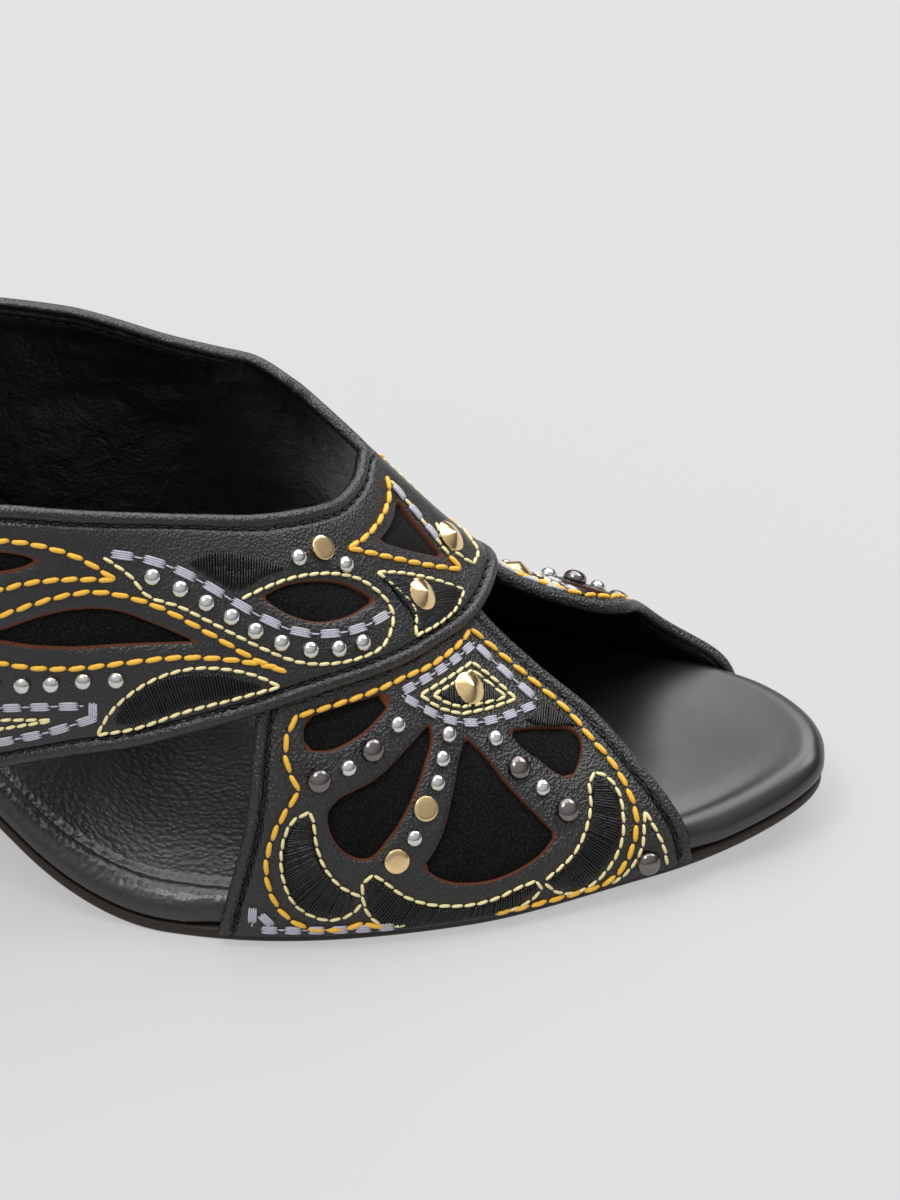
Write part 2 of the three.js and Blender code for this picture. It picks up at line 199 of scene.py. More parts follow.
innerRows = np.array([
    (0.0, 53.0, 74.2, 58.0, 66.0),
    (0.1, 54.2, 81.6, 38.5, 67.0),
    (0.2, 57.0, 85.2, 33.0, 68.5),
    (0.3, 60.5, 89.6, 31.6, 70.5),
    (0.4, 64.0, 101.6, 31.0, 72.5),
    (0.5, 68.0, 114.6, 30.0, 74.5),
    (0.6, 73.0, 125.6, 28.0, 76.8),
    (0.8, 90.0, 150.0, 18.8, 82.0),
    (1.0, 113.0, 175.0, 15.7, 87.0),
])
heelTipSide = -0.8
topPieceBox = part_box("heel_top_piece")
toeTip = np.array([
    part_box("outsole")[1].x / mm + lastShape["endTrim"],
    (topPieceBox[0].y + topPieceBox[1].y) / 2 / mm - heelTipSide,
    0.0,
])


def section(column, station):
    return hermite(sectionRows[:, 0], sectionRows[:, sectionColumns.index(column)], station)


def bend(station, start, end):  # height gained past a bend from flat to a slope of one
    t = np.clip(station - start, 0, end - start)
    return t * t / (2 * (end - start)) + np.maximum(station - end, 0)


def soleBottom(station):
    shape = lastShape
    spring = shape["toeSpring"] * np.maximum(0, 1 - station / shape["treadStart"]) ** 2
    shank = shape["shankSlope"] * bend(station, shape["treadEnd"], shape["shankStart"])
    seat = (shape["shankSlope"] - shape["seatSlope"]) * bend(station, shape["shankEnd"], shape["seatStart"])
    return spring + shank - seat


def endFactor(station):
    toeLength, toePower = lastShape["toeRound"]
    heelLength, heelPower = lastShape["heelRound"]
    toe = np.clip(1 - station / toeLength, 0, 1)
    heel = np.clip(1 - (lastShape["length"] - station) / heelLength, 0, 1)
    return (1 - toe ** toePower) ** (1 / toePower) * (1 - heel ** heelPower) ** (1 / heelPower)


def soleEdge(station, inner):  # side position of the sole edge, inner or outer
    width = np.where(inner, section("medial", station), -section("lateral", station))
    return width * endFactor(station)


def featherHeight(station):
    return soleBottom(station) + lastShape["outsole"] + lastShape["gap"]


def lastPoint(station, girth):
    station, girth = np.broadcast_arrays(np.asarray(station, float), np.asarray(girth, float))
    fall = smoothStep(station, innerFall["start"], innerFall["full"])
    fall = np.where(girth > 0, fall * (1 - smoothStep(station, innerFall["ease"], innerFall["end"])), 0)
    start = innerFall["turn"] * fall
    turn = (1 - np.abs(girth)) * (np.pi / 2 - start)
    size = 1 - innerFall["drawIn"] * fall * np.sin(girth * np.pi) ** 2
    crest = section("crestSide", station)
    reach = soleEdge(station, girth > 0) - crest
    y = crest + reach * size * (np.cos(turn) - np.sin(start)) / (1 - np.sin(start))
    z = featherHeight(station) + section("crestUp", station) * size * np.sin(turn) / np.cos(start)
    return np.stack([-station, y, z], axis=-1) + toeTip


def lastNormal(station, girth):
    girth = np.asarray(girth, float)
    low, high = np.maximum(-1, girth - nudge), np.minimum(1, girth + nudge)
    across = lastPoint(station, high) - lastPoint(station, low)
    along = lastPoint(station + nudge, girth) - lastPoint(station - nudge, girth)
    normal = np.cross(across, along)
    return normal / np.linalg.norm(normal, axis=-1, keepdims=True)


def strapEdge(strap, end, girth):
    column = strapColumns.index(strap + end)
    outer = hermite(outerRows[:, 0], outerRows[:, column], np.abs(girth))
    inner = hermite(innerRows[:, 0], innerRows[:, column], np.abs(girth))
    return np.where(np.asarray(girth) < 0, outer, inner)


def onInnerSide(strap, station, girth, margin):  # mirrored place, kept off the inner strap's rolled edges
    shift = innerShift[strap]
    share = 1 - smoothStep(np.abs(girth), shift["full"], shift["none"])
    around = np.maximum(np.abs(girth) + shift["girth"] * share, crestGap)
    front = strapEdge(strap, "Front", around) + margin * edgeStep(strap, "Front", around)
    back = strapEdge(strap, "Back", around) - margin * edgeStep(strap, "Back", around)
    return np.clip(station + shift["station"] * share, front, np.maximum(front, back)), around


def strapPoint(strap, station, girth, height):  # a point over the last, never under the seat on the outsole
    station = np.asarray(station, float)
    if strap == "band":
        fade = smoothStep(np.abs(girth), lastShape["bandLiftFull"], lastShape["bandLiftNone"])
        height = height + lastShape["bandLift"] * (1 - fade)
    height = np.asarray(height, float)
    point = lastPoint(station, girth) + lastNormal(station, girth) * height[..., None]
    floorHeight = featherHeight(toeTip[0] - point[..., 0])
    point[..., 2] = np.maximum(point[..., 2], floorHeight)
    return point


def edgeStep(strap, end, girth):  # stations passed for each millimetre square to a strap edge
    low, high = np.maximum(-1, girth - nudge), np.minimum(1, girth + nudge)
    tangent = lastPoint(strapEdge(strap, end, high), high) - lastPoint(strapEdge(strap, end, low), low)
    tangent /= np.linalg.norm(tangent, axis=-1, keepdims=True)
    edge = strapEdge(strap, end, girth)
    along = (lastPoint(edge + nudge, girth) - lastPoint(edge, girth)) / nudge
    square = along - tangent * np.sum(along * tangent, axis=-1, keepdims=True)
    return 1 / np.linalg.norm(square, axis=-1)


# Camera: the photo's angle, from in front of the outer side and above

camera = {
    "azimuth": 8, "elevation": 36, "distance": 1000, "lens": 195, "sensor": 36, "photo": (900, 1200),
    "clip": (0.05, 50),
    "target": np.array([50.0, 3.8, 25.0]), "aim": np.array([51.5, 8.8, 31.4]),
}
azimuth, elevation = math.radians(camera["azimuth"]), math.radians(camera["elevation"])
backward = np.array([math.sin(azimuth) * math.cos(elevation), -math.cos(azimuth) * math.cos(elevation),
                     math.sin(elevation)])
lookFrom = camera["target"] + backward * camera["distance"]
forward = (camera["aim"] - lookFrom) / np.linalg.norm(camera["aim"] - lookFrom)
rightward = np.cross(forward, (0, 0, 1))
rightward /= np.linalg.norm(rightward)
upward = np.cross(rightward, forward)
focalPixels = camera["lens"] / camera["sensor"] * camera["photo"][1]

cameraData = bpy.data.cameras.new("camera")
cameraData.lens = camera["lens"]
cameraData.sensor_width = camera["sensor"]
cameraData.clip_start, cameraData.clip_end = camera["clip"]
cameraObject = bpy.data.objects.new("camera", cameraData)
cameraObject.location = Vector(lookFrom * mm)
cameraObject.rotation_mode = "QUATERNION"
cameraObject.rotation_quaternion = Vector(forward).to_track_quat("-Z", "Y")
scene.collection.objects.link(cameraObject)
scene.camera = cameraObject


def photoPixels(points):
    ray = points - lookFrom
    depth = ray @ forward
    x = camera["photo"][0] / 2 + focalPixels * (ray @ rightward) / depth
    y = camera["photo"][1] / 2 - focalPixels * (ray @ upward) / depth
    return np.stack([x, y], axis=-1)


# Ornament chart: the outer side's motifs, in pixels of the photo. Each stroke is a smooth line from
# corner to corner. What the photo's left edge cuts off is closed plainly past it.

bandChart = {
    "heavy": {
        "rearLeaf": [
            [(-118, 588), (-60, 553), (0, 541), (40, 546), (76, 557), (116, 580)],
            [(116, 580), (57, 580), (23, 584), (0, 590), (-50, 597), (-118, 588)],
        ],
        "frontLeaf": [
            [(-80, 650), (0, 616), (34, 604), (63, 596), (92, 592), (119, 595), (153, 605), (210, 634),
             (258, 661), (287, 673)],
            [(278, 668), (239, 661), (207, 658), (172, 658), (134, 662), (63, 669), (34, 668), (0, 663),
             (-80, 650)],
        ],
        "throat": [
            [(387, 476), (389, 497), (379, 521), (363, 539), (348, 548)],
            [(348, 548), (388, 557), (426, 565), (461, 570)],
            [(461, 570), (449, 555)],
        ],
    },
    "fine": {
        "loop": [
            [(103, 557), (132, 578), (145, 594), (180, 607), (210, 622), (239, 637), (268, 651), (298, 662),
             (313, 664), (338, 663), (363, 657), (382, 647), (391, 630), (393, 615), (387, 601), (376, 590),
             (359, 579), (338, 574), (315, 574), (292, 578), (267, 587), (241, 599)],
        ],
        "frontPetal": [
            [(97, 735), (111, 712), (132, 693), (163, 676), (191, 669), (230, 670), (264, 679), (280, 687)],
            [(280, 687), (239, 698), (182, 713), (134, 729), (97, 735)],
        ],
        "coneFrame": [
            [(377, 572), (401, 573), (432, 579), (464, 590)],
            [(464, 590), (456, 608), (438, 624), (416, 636)],
            [(416, 636), (414, 608), (399, 591), (377, 572)],
        ],
        "throatSide": [[(449, 555), (430, 531), (410, 505), (390, 480)]],
        "plainPair": [
            [(-60, 722), (0, 720), (51, 720)], [(51, 721), (25, 725), (0, 729), (-60, 736)],
        ],
    },
    "bars": {
        "wave": [[(106, 553), (149, 560), (180, 571), (210, 587), (238, 604), (267, 620), (298, 632),
                  (328, 634), (358, 629), (391, 612)]],
        "rearLoop": [
            [(-80, 708), (0, 708), (31, 707), (83, 706)], [(93, 699), (93, 722)],
            [(101, 716), (85, 721), (53, 731), (21, 738), (-11, 744), (-60, 750)],
        ],
    },
    "windows": {
        "rearLeaf": [
            [(-85, 577), (-40, 557), (0, 551), (25, 555), (42, 561)],
            [(42, 561), (20, 571), (0, 575), (-40, 581), (-85, 577)],
        ],
        "frontLeaf": [
            [(-35, 638), (0, 629), (38, 616), (76, 608), (115, 609), (153, 622), (202, 643)],
            [(202, 643), (134, 646), (60, 650), (25, 648), (0, 644), (-35, 638)],
        ],
        "almond": [
            [(260, 597), (285, 584), (318, 579), (348, 583), (378, 600)],
            [(378, 600), (352, 616), (320, 623), (288, 615), (260, 597)],
        ],
        "throat": [
            [(398, 496), (414, 518), (447, 558)],
            [(447, 558), (412, 551), (378, 541)],
            [(378, 541), (392, 522), (398, 496)],
        ],
    },
    "satin": {
        "wing": (
            [(186, 562), (212, 554), (245, 557), (275, 565), (293, 568)],
            [(186, 562), (215, 577), (235, 588), (262, 575), (293, 568)],
        ),
        "frontPetal": (
            [(112, 725), (128, 703), (150, 687), (180, 677), (215, 676), (250, 682), (268, 687)],
            [(112, 725), (140, 720), (180, 707), (225, 696), (268, 687)],
        ),
        "coneFrame": (
            [(382, 576), (402, 594), (415, 612), (419, 629)],
            [(384, 576), (432, 584), (459, 592), (452, 609), (437, 622), (421, 630)],
        ),
    },
    "silver": [
        (152, 577), (180, 589), (206, 603), (231, 617), (255, 631), (281, 643), (310, 650), (338, 649),
        (362, 643), (-74, 682), (-42, 684), (-7, 684), (22, 685), (51, 684), (83, 681), (116, 680),
        (298, 558), (345, 565),
    ],
}
legChart = {
    "heavy": {
        "frontSide": [
            [(470, 628), (497, 651), (538, 685), (568, 711), (590, 737), (611, 761), (627, 788), (636, 814),
             (634, 842), (614, 877), (593, 889), (552, 900), (523, 908), (494, 916)],
        ],
        "bandSide": [[(470, 630), (460, 643), (446, 655), (428, 667), (407, 676), (382, 688), (338, 704),
                      (298, 716)]],
        "backSide": [
            [(298, 714), (287, 736), (286, 760), (299, 792)],
            [(299, 792), (285, 813), (271, 842), (266, 872), (270, 891), (281, 911), (300, 925), (323, 930),
             (346, 928), (364, 923)],
            [(364, 923), (386, 928)],
        ],
    },
    "fine": {
        "backCrescent": [
            [(310, 812), (293, 821), (284, 839), (281, 862), (284, 882), (293, 902), (310, 915), (328, 920),
             (351, 914), (362, 904)],
            [(310, 812), (313, 821), (316, 844), (326, 870), (341, 887), (361, 897)],
        ],
        "soleCrescent": [
            [(374, 875), (364, 882), (363, 899), (369, 915), (384, 926), (407, 928)],
            [(374, 875), (386, 883), (402, 895), (427, 904), (452, 906), (470, 905), (497, 898),
             (520, 887), (536, 881)],
            [(536, 881), (541, 887), (532, 899), (518, 907), (494, 914)],
        ],
        "toeCrescent": [
            [(595, 772), (607, 777), (618, 791), (623, 814), (622, 840), (612, 863), (591, 885), (573, 893),
             (555, 891), (545, 883)],
            [(595, 772), (590, 781), (591, 804), (587, 826), (573, 855), (561, 867), (545, 880)],
        ],
        "corner": [
            [(645, 811), (656, 830), (665, 851), (667, 865)],
            [(645, 811), (644, 828), (643, 844), (626, 873), (611, 884)],
        ],
        "eyeOutside": [
            [(420, 695), (445, 680), (472, 662)], [(472, 662), (495, 680), (516, 699)],
            [(516, 699), (490, 708), (461, 714)], [(461, 714), (440, 708), (420, 695)],
        ],
        "eyeInside": [
            [(433, 695), (452, 684), (472, 670)], [(472, 670), (490, 684), (506, 697)],
            [(506, 697), (484, 703), (461, 707)], [(461, 707), (447, 703), (433, 695)],
        ],
    },
    "bars": {
        "eyeFrame": [
            [(400, 693), (435, 673), (458, 657), (474, 643)],
            [(474, 643), (495, 663), (512, 678), (537, 700)],
            [(537, 704), (503, 717), (475, 723), (445, 719), (419, 706), (402, 696)],
        ],
        "heelCorner": [
            [(253, 904), (252, 926)], [(258, 912), (275, 928)],
            [(258, 932), (272, 934), (300, 936), (330, 936), (398, 930)],
        ],
    },
    "windows": {
        "backPetal": [
            [(307, 717), (345, 704), (386, 692)],
            [(386, 692), (391, 701), (379, 721), (355, 741), (325, 753), (307, 750), (303, 733), (307, 717)],
        ],
        "sidePetal": [
            [(431, 721), (434, 735), (427, 766), (412, 805), (393, 837), (366, 862), (348, 857), (332, 839),
             (328, 812), (339, 798)],
            [(339, 798), (379, 776), (405, 750), (431, 721)],
        ],
        "middlePetal": [
            [(466, 735), (485, 753), (511, 786), (538, 814), (558, 835)],
            [(558, 835), (546, 852), (519, 872), (479, 885), (443, 882), (422, 869)],
            [(422, 869), (437, 846), (453, 792), (460, 755), (466, 735)],
        ],
        "frontPetal": [
            [(509, 729), (540, 726), (572, 726)],
            [(572, 726), (581, 736), (580, 763), (570, 778), (558, 774), (538, 759), (519, 745), (509, 729)],
        ],
    },
    "satin": {
        "backCrescent": (
            [(309, 819), (296, 828), (288, 845), (286, 867), (290, 887), (304, 906), (328, 914),
             (348, 908), (357, 901)],
            [(309, 819), (310, 838), (314, 856), (323, 874), (337, 889), (350, 897), (357, 901)],
        ),
        "soleCrescent": (
            [(373, 881), (395, 896), (424, 909), (454, 911), (485, 906), (511, 896), (536, 885)],
            [(369, 891), (374, 912), (395, 926), (432, 926), (475, 918), (508, 908), (536, 889)],
        ),
        "toeCrescent": (
            [(596, 779), (595, 804), (591, 828), (577, 857), (565, 870), (550, 881)],
            [(600, 779), (612, 794), (618, 815), (617, 838), (605, 862), (586, 882), (554, 886)],
        ),
        "eye": ([(438, 695), (472, 675), (501, 697)], [(438, 696), (461, 704), (501, 698)]),
        "frontPetal": (
            [(531, 714), (545, 703), (560, 714), (576, 724)],
            [(527, 719), (542, 723), (557, 724), (572, 724)],
        ),
    },
    "silver": [(397, 725), (348, 768), (448, 735), (442, 759), (437, 783), (414, 838), (495, 739),
               (542, 788)],
}
centreChart = {  # on the crest of the band, so it isn't repeated on the inner side
    "fine": {
        "coneFrame": [
            [(436, 522), (443, 540), (458, 554), (473, 564)],
            [(473, 564), (478, 553), (470, 538), (459, 524)],
        ],
    },
    "bars": {"throat": [[(391, 482), (408, 503), (424, 522), (440, 542)]]},
}
charts = {"band": bandChart, "leg": legChart}


castSettings = {  # first guesses on a grid, then a few steps towards each pixel
    "strokeStep": 1.5, "girthEnd": 0.985, "gridTo": 0.15, "girthTo": 0.2,
    "girthSteps": 150, "stationSteps": 90, "rounds": 8, "stationNudge": 0.05, "girthNudge": 0.0005,
    "stationMove": 3, "girthMove": 0.05, "stationRange": (5, 215), "flattest": 1e-6,
}


def smoothStroke(points):
    points = np.array(points, float)
    keys = lengthAlong(points)
    count = max(4, int(keys[-1] / castSettings["strokeStep"]))
    return hermite(keys, points, np.linspace(0, keys[-1], count + 1))


def strapGrid(strap, girths, shares):  # stations and girths all over a strap
    girth, share = np.meshgrid(girths, shares, indexing="ij")
    front, back = strapEdge(strap, "Front", girth), strapEdge(strap, "Back", girth)
    return front + (back - front) * share, girth


def castGrid(strap):  # samples of the strap that face the camera
    row = castSettings
    girths = np.linspace(-row["girthEnd"], row["gridTo"], row["girthSteps"])
    station, girth = strapGrid(strap, girths, np.linspace(0, 1, row["stationSteps"]))
    points = strapPoint(strap, station, girth, lastShape["wall"])
    facing = np.sum(lastNormal(station, girth) * (lookFrom - points), axis=-1) > 0
    return pointTree(photoPixels(points[facing])), station[facing], girth[facing]


castGrids = {strap: castGrid(strap) for strap in charts}


def castToStrap(pixels, strap):  # the places on a strap that show at these pixels
    row = castSettings
    tree, stations, girths = castGrids[strap]
    pixels = np.asarray(pixels, float)
    nearest = [tree.find((x, y, 0))[1] for x, y in pixels]
    station, girth = stations[nearest].copy(), girths[nearest].copy()

    def shown(station, girth):
        return photoPixels(strapPoint(strap, station, girth, lastShape["wall"]))

    for _ in range(row["rounds"]):
        miss = pixels - shown(station, girth)
        step = row["stationNudge"]
        alongStation = (shown(station + step, girth) - shown(station - step, girth)) / (2 * step)
        step = row["girthNudge"]
        alongGirth = (shown(station, girth + step) - shown(station, girth - step)) / (2 * step)
        scale = alongStation[:, 0] * alongGirth[:, 1] - alongStation[:, 1] * alongGirth[:, 0]
        scale = np.where(np.abs(scale) < row["flattest"], row["flattest"], scale)
        moveStation = (miss[:, 0] * alongGirth[:, 1] - miss[:, 1] * alongGirth[:, 0]) / scale
        moveGirth = (alongStation[:, 0] * miss[:, 1] - alongStation[:, 1] * miss[:, 0]) / scale
        station = station + np.clip(moveStation, -row["stationMove"], row["stationMove"])
        station = np.clip(station, *row["stationRange"])
        girth = girth + np.clip(moveGirth, -row["girthMove"], row["girthMove"])
        girth = np.clip(girth, -row["girthEnd"], row["girthTo"])
    return station, girth


def chartStrokes(strap, chart, kind, mirrored=True):  # every stroke of a kind as stations and girths
    strokes = []
    for motif in chart.get(kind, {}).values():
        for stroke in motif:
            station, girth = castToStrap(smoothStroke(stroke), strap)
            strokes.append((station, girth))
            if mirrored:
                strokes.append(onInnerSide(strap, station, girth, innerMargins["line"]))
    return strokes


strokes = {
    strap: {kind: chartStrokes(strap, chart, kind) for kind in ("heavy", "fine", "bars")}
    for strap, chart in charts.items()
}
for kind in ("fine", "bars"):
    strokes["band"][kind] += chartStrokes("band", centreChart, kind, mirrored=False)
print("ornament cast on the straps")


# Materials

def newMaterial(name, roughness, metallic=0.0, **sockets):
    material = bpy.data.materials.new(name)
    material.use_nodes = True
    tree = material.node_tree
    shader = tree.nodes["Principled BSDF"]
    shader.inputs["Roughness"].default_value = roughness
    shader.inputs["Metallic"].default_value = metallic
    for socket, value in sockets.items():
        shader.inputs[socket.replace("_", " ")].default_value = value
    coordinates = addNode(tree, "ShaderNodeTexCoord").outputs["Object"]
    return material, tree, shader, coordinates


def mottle(tree, shader, place, sizeMm, detail, dark, light, **more):  # two shades mixed by small spots
    settings = {"Scale": 1 / (sizeMm * mm), "Detail": detail, **more}
    spots = addNode(tree, "ShaderNodeTexNoise", settings, {"Vector": place}).outputs["Fac"]
    shades = {"data_type": "RGBA", 6: hexColor(dark), 7: hexColor(light)}
    tint = addNode(tree, "ShaderNodeMix", shades, {0: spots})
    tree.links.new(tint.outputs[2], shader.inputs["Base Color"])
    return spots


leatherLook = {
    "smoothness": 0.35, "poreShare": 0.45, "poreDetail": 3.0, "poreDepth": 0.5, "creaseDetail": 4.0,
    "creaseTwist": 0.6, "glossier": 0.07, "duller": 0.09,
}


def grainedLeather(name, dark, light, roughness, specular, grainMm, grainDepth, creaseMm, creaseDepth,
                   gather=None):
    # finished calf: closed grain with small pores, dyed black, a soft waxed shine
    look = leatherLook
    material, tree, shader, place = newMaterial(name, roughness, Specular_IOR_Level=specular)
    cellSettings = {"feature": "SMOOTH_F1", "Scale": 1 / (grainMm * mm), "Smoothness": look["smoothness"]}
    cells = addNode(tree, "ShaderNodeTexVoronoi", cellSettings, {"Vector": place})
    poreSettings = {"Scale": 1 / (grainMm * look["poreShare"] * mm), "Detail": look["poreDetail"]}
    pores = addNode(tree, "ShaderNodeTexNoise", poreSettings, {"Vector": place})
    soft = mottle(tree, shader, place, creaseMm, look["creaseDetail"], dark, light,
                  Distortion=look["creaseTwist"])
    shine = {"To Min": roughness - look["glossier"], "To Max": roughness + look["duller"]}
    gloss = addNode(tree, "ShaderNodeMapRange", shine, {"Value": soft})
    tree.links.new(gloss.outputs["Result"], shader.inputs["Roughness"])
    pebbles = addNode(tree, "ShaderNodeMath", {"operation": "MULTIPLY_ADD", 1: look["poreDepth"]},
                      {0: pores.outputs["Fac"], 2: cells.outputs["Distance"]})
    creases = addNode(tree, "ShaderNodeBump", {"Distance": creaseDepth * mm}, {"Height": soft})
    grain = addNode(tree, "ShaderNodeBump", {"Distance": grainDepth * mm},
                    {"Height": pebbles.outputs[0], "Normal": creases.outputs[0]})
    tree.links.new(grain.outputs[0], shader.inputs["Normal"])
    if gather:  # the grain fades from full to faint between two places along the shoe
        along = addNode(tree, "ShaderNodeSeparateXYZ", {}, {0: place}).outputs["X"]
        fade = {"From Min": gather["faintAt"] * mm, "From Max": gather["fullAt"] * mm,
                "To Min": gather["faint"]}
        strength = addNode(tree, "ShaderNodeMapRange", fade, {"Value": along})
        tree.links.new(strength.outputs["Result"], grain.inputs["Strength"])
    return material


def suedeNap(name):
    # split suede dyed deep black: short raised fibres, no shine, a faint bloom at the edges
    material, tree, shader, place = newMaterial(name, 0.95, Specular_IOR_Level=0.1, Sheen_Weight=0.05,
                                                Sheen_Roughness=0.5)
    fibres = addNode(tree, "ShaderNodeTexNoise", {"Scale": 1 / (0.28 * mm), "Detail": 5.0, "Roughness": 0.7},
                     {"Vector": place}).outputs["Fac"]
    ends = addNode(tree, "ShaderNodeMapRange", {"From Min": 0.47, "From Max": 0.72}, {"Value": fibres})
    shades = {"data_type": "RGBA", 6: hexColor("020202"), 7: hexColor("2e2e2c")}
    tint = addNode(tree, "ShaderNodeMix", shades, {0: ends.outputs["Result"]})
    tree.links.new(tint.outputs[2], shader.inputs["Base Color"])
    bump = addNode(tree, "ShaderNodeBump", {"Distance": 0.3 * mm}, {"Height": fibres})
    tree.links.new(bump.outputs[0], shader.inputs["Normal"])
    return material


def cutEdge(name, dark, light, roughness):
    # cut edge of tanned leather: brown fibre that the black finish doesn't reach
    material, tree, shader, place = newMaterial(name, roughness, Specular_IOR_Level=0.3)
    fibres = mottle(tree, shader, place, 0.5, 5.0, dark, light, Roughness=0.65)
    bump = addNode(tree, "ShaderNodeBump", {"Distance": 0.08 * mm}, {"Height": fibres})
    tree.links.new(bump.outputs[0], shader.inputs["Normal"])
    return material


def embroideryThread(name, dark, light, roughness, sheen):
    # filament thread: smooth bright fibres laid along each stitch
    material, tree, shader, place = newMaterial(name, roughness, Specular_IOR_Level=0.5, Sheen_Weight=sheen)
    fibres = mottle(tree, shader, place, 0.3, 3.0, dark, light)
    bump = addNode(tree, "ShaderNodeBump", {"Distance": 0.08 * mm}, {"Height": fibres})
    tree.links.new(bump.outputs[0], shader.inputs["Normal"])
    return material


def platedMetal(name, dark, light, roughness):
    # pressed metal stud, plated and polished: clear reflections with faint handling marks
    material, tree, shader, place = newMaterial(name, roughness, metallic=1.0)
    marks = mottle(tree, shader, place, 0.8, 4.0, dark, light)
    shine = {"To Min": roughness - 0.05, "To Max": roughness + 0.08}
    gloss = addNode(tree, "ShaderNodeMapRange", shine, {"Value": marks})
    tree.links.new(gloss.outputs["Result"], shader.inputs["Roughness"])
    return material


def mouldedRubber(name):
    # hard heel rubber: matt, finely pitted from its mould
    material, tree, shader, place = newMaterial(name, 0.75, Specular_IOR_Level=0.3)
    pits = mottle(tree, shader, place, 0.6, 5.0, "0d0d0d", "1c1b1a")
    bump = addNode(tree, "ShaderNodeBump", {"Distance": 0.06 * mm}, {"Height": pits})
    tree.links.new(bump.outputs[0], shader.inputs["Normal"])
    return material


bandCalf = grainedLeather("black calf leather", "07070a", "111114", roughness=0.36, specular=0.7,
                          grainMm=0.45, grainDepth=0.12, creaseMm=9.0, creaseDepth=0.12)
legCalf = grainedLeather("pebbled black calf leather", "050506", "0c0c0e", roughness=0.29, specular=0.7,
                         grainMm=0.45, grainDepth=0.26, creaseMm=7.0, creaseDepth=0.1)
liningCalf = grainedLeather("black lining leather", "010101", "040404", roughness=0.4, specular=0.7,
                            grainMm=0.6, grainDepth=0.06, creaseMm=5.0, creaseDepth=0.5)
sockCalf = grainedLeather("black sock leather", "040405", "0a0a0b", roughness=0.36, specular=0.9, grainMm=1.0,
                          grainDepth=0.1, creaseMm=14.0, creaseDepth=0.05,
                          gather={"faintAt": 47, "fullAt": 32, "faint": 0.06})
heelCalf = grainedLeather("black heel cover leather", "0c0c0e", "161619", roughness=0.4, specular=0.45,
                          grainMm=0.5, grainDepth=0.03, creaseMm=12.0, creaseDepth=0.05)
suede = suedeNap("black split suede")
rawEdge = cutEdge("cut calf edge", "34170c", "6c3a20", roughness=0.8)
soleEdgeStain = cutEdge("stained sole leather", "1c1512", "3a2e27", roughness=0.5)
heavyThread = embroideryThread("golden yellow thread", "eba41e", "ffd04a", roughness=0.5, sheen=0.15)
fineThread = embroideryThread("pale cream thread", "e6d48a", "fdf5c4", roughness=0.5, sheen=0.15)
barThread = embroideryThread("lilac grey thread", "a09dac", "d2cfdb", roughness=0.5, sheen=0.15)
satinThread = embroideryThread("black satin thread", "020203", "09090a", roughness=0.27, sheen=0.0)
seamThread = embroideryThread("black seam thread", "020202", "060607", roughness=0.6, sheen=0.0)
goldPlate = platedMetal("pale gold plate", "e6c284", "fbe2b4", roughness=0.16)
silverPlate = platedMetal("nickel plate", "c9c9c7", "e4e4e2", roughness=0.1)
gunmetalPlate = platedMetal("gunmetal plate", "6a6463", "8c8684", roughness=0.14)
heelRubber = mouldedRubber("black heel rubber")
print("materials made")


# Stitches and studs by Geometry Nodes: each point is one of them, with the strap's normal, and for a
# stitch its direction and length

def newTree(name, inputs):
    tree = bpy.data.node_groups.new(name, "GeometryNodeTree")
    tree.interface.new_socket("Geometry", in_out="INPUT", socket_type="NodeSocketGeometry")
    for label, kind in inputs:
        tree.interface.new_socket(label, in_out="INPUT", socket_type="NodeSocket" + kind)
    tree.interface.new_socket("Geometry", in_out="OUTPUT", socket_type="NodeSocketGeometry")
    return tree, addNode(tree, "NodeGroupInput").outputs


def endTree(tree, instances, material):
    real = addNode(tree, "GeometryNodeRealizeInstances", {}, {"Geometry": instances.outputs[0]})
    smooth = addNode(tree, "GeometryNodeSetShadeSmooth", {}, {"Geometry": real.outputs[0]})
    painted = addNode(tree, "GeometryNodeSetMaterial", {}, {
        "Geometry": smooth.outputs[0], "Material": material})
    addNode(tree, "NodeGroupOutput", {}, {"Geometry": painted.outputs[0]})
    return tree


threadShape = {"samples": 9, "sides": 7, "bluntness": 4.0, "dip": -0.5, "taper": -0.55, "seed": 4}


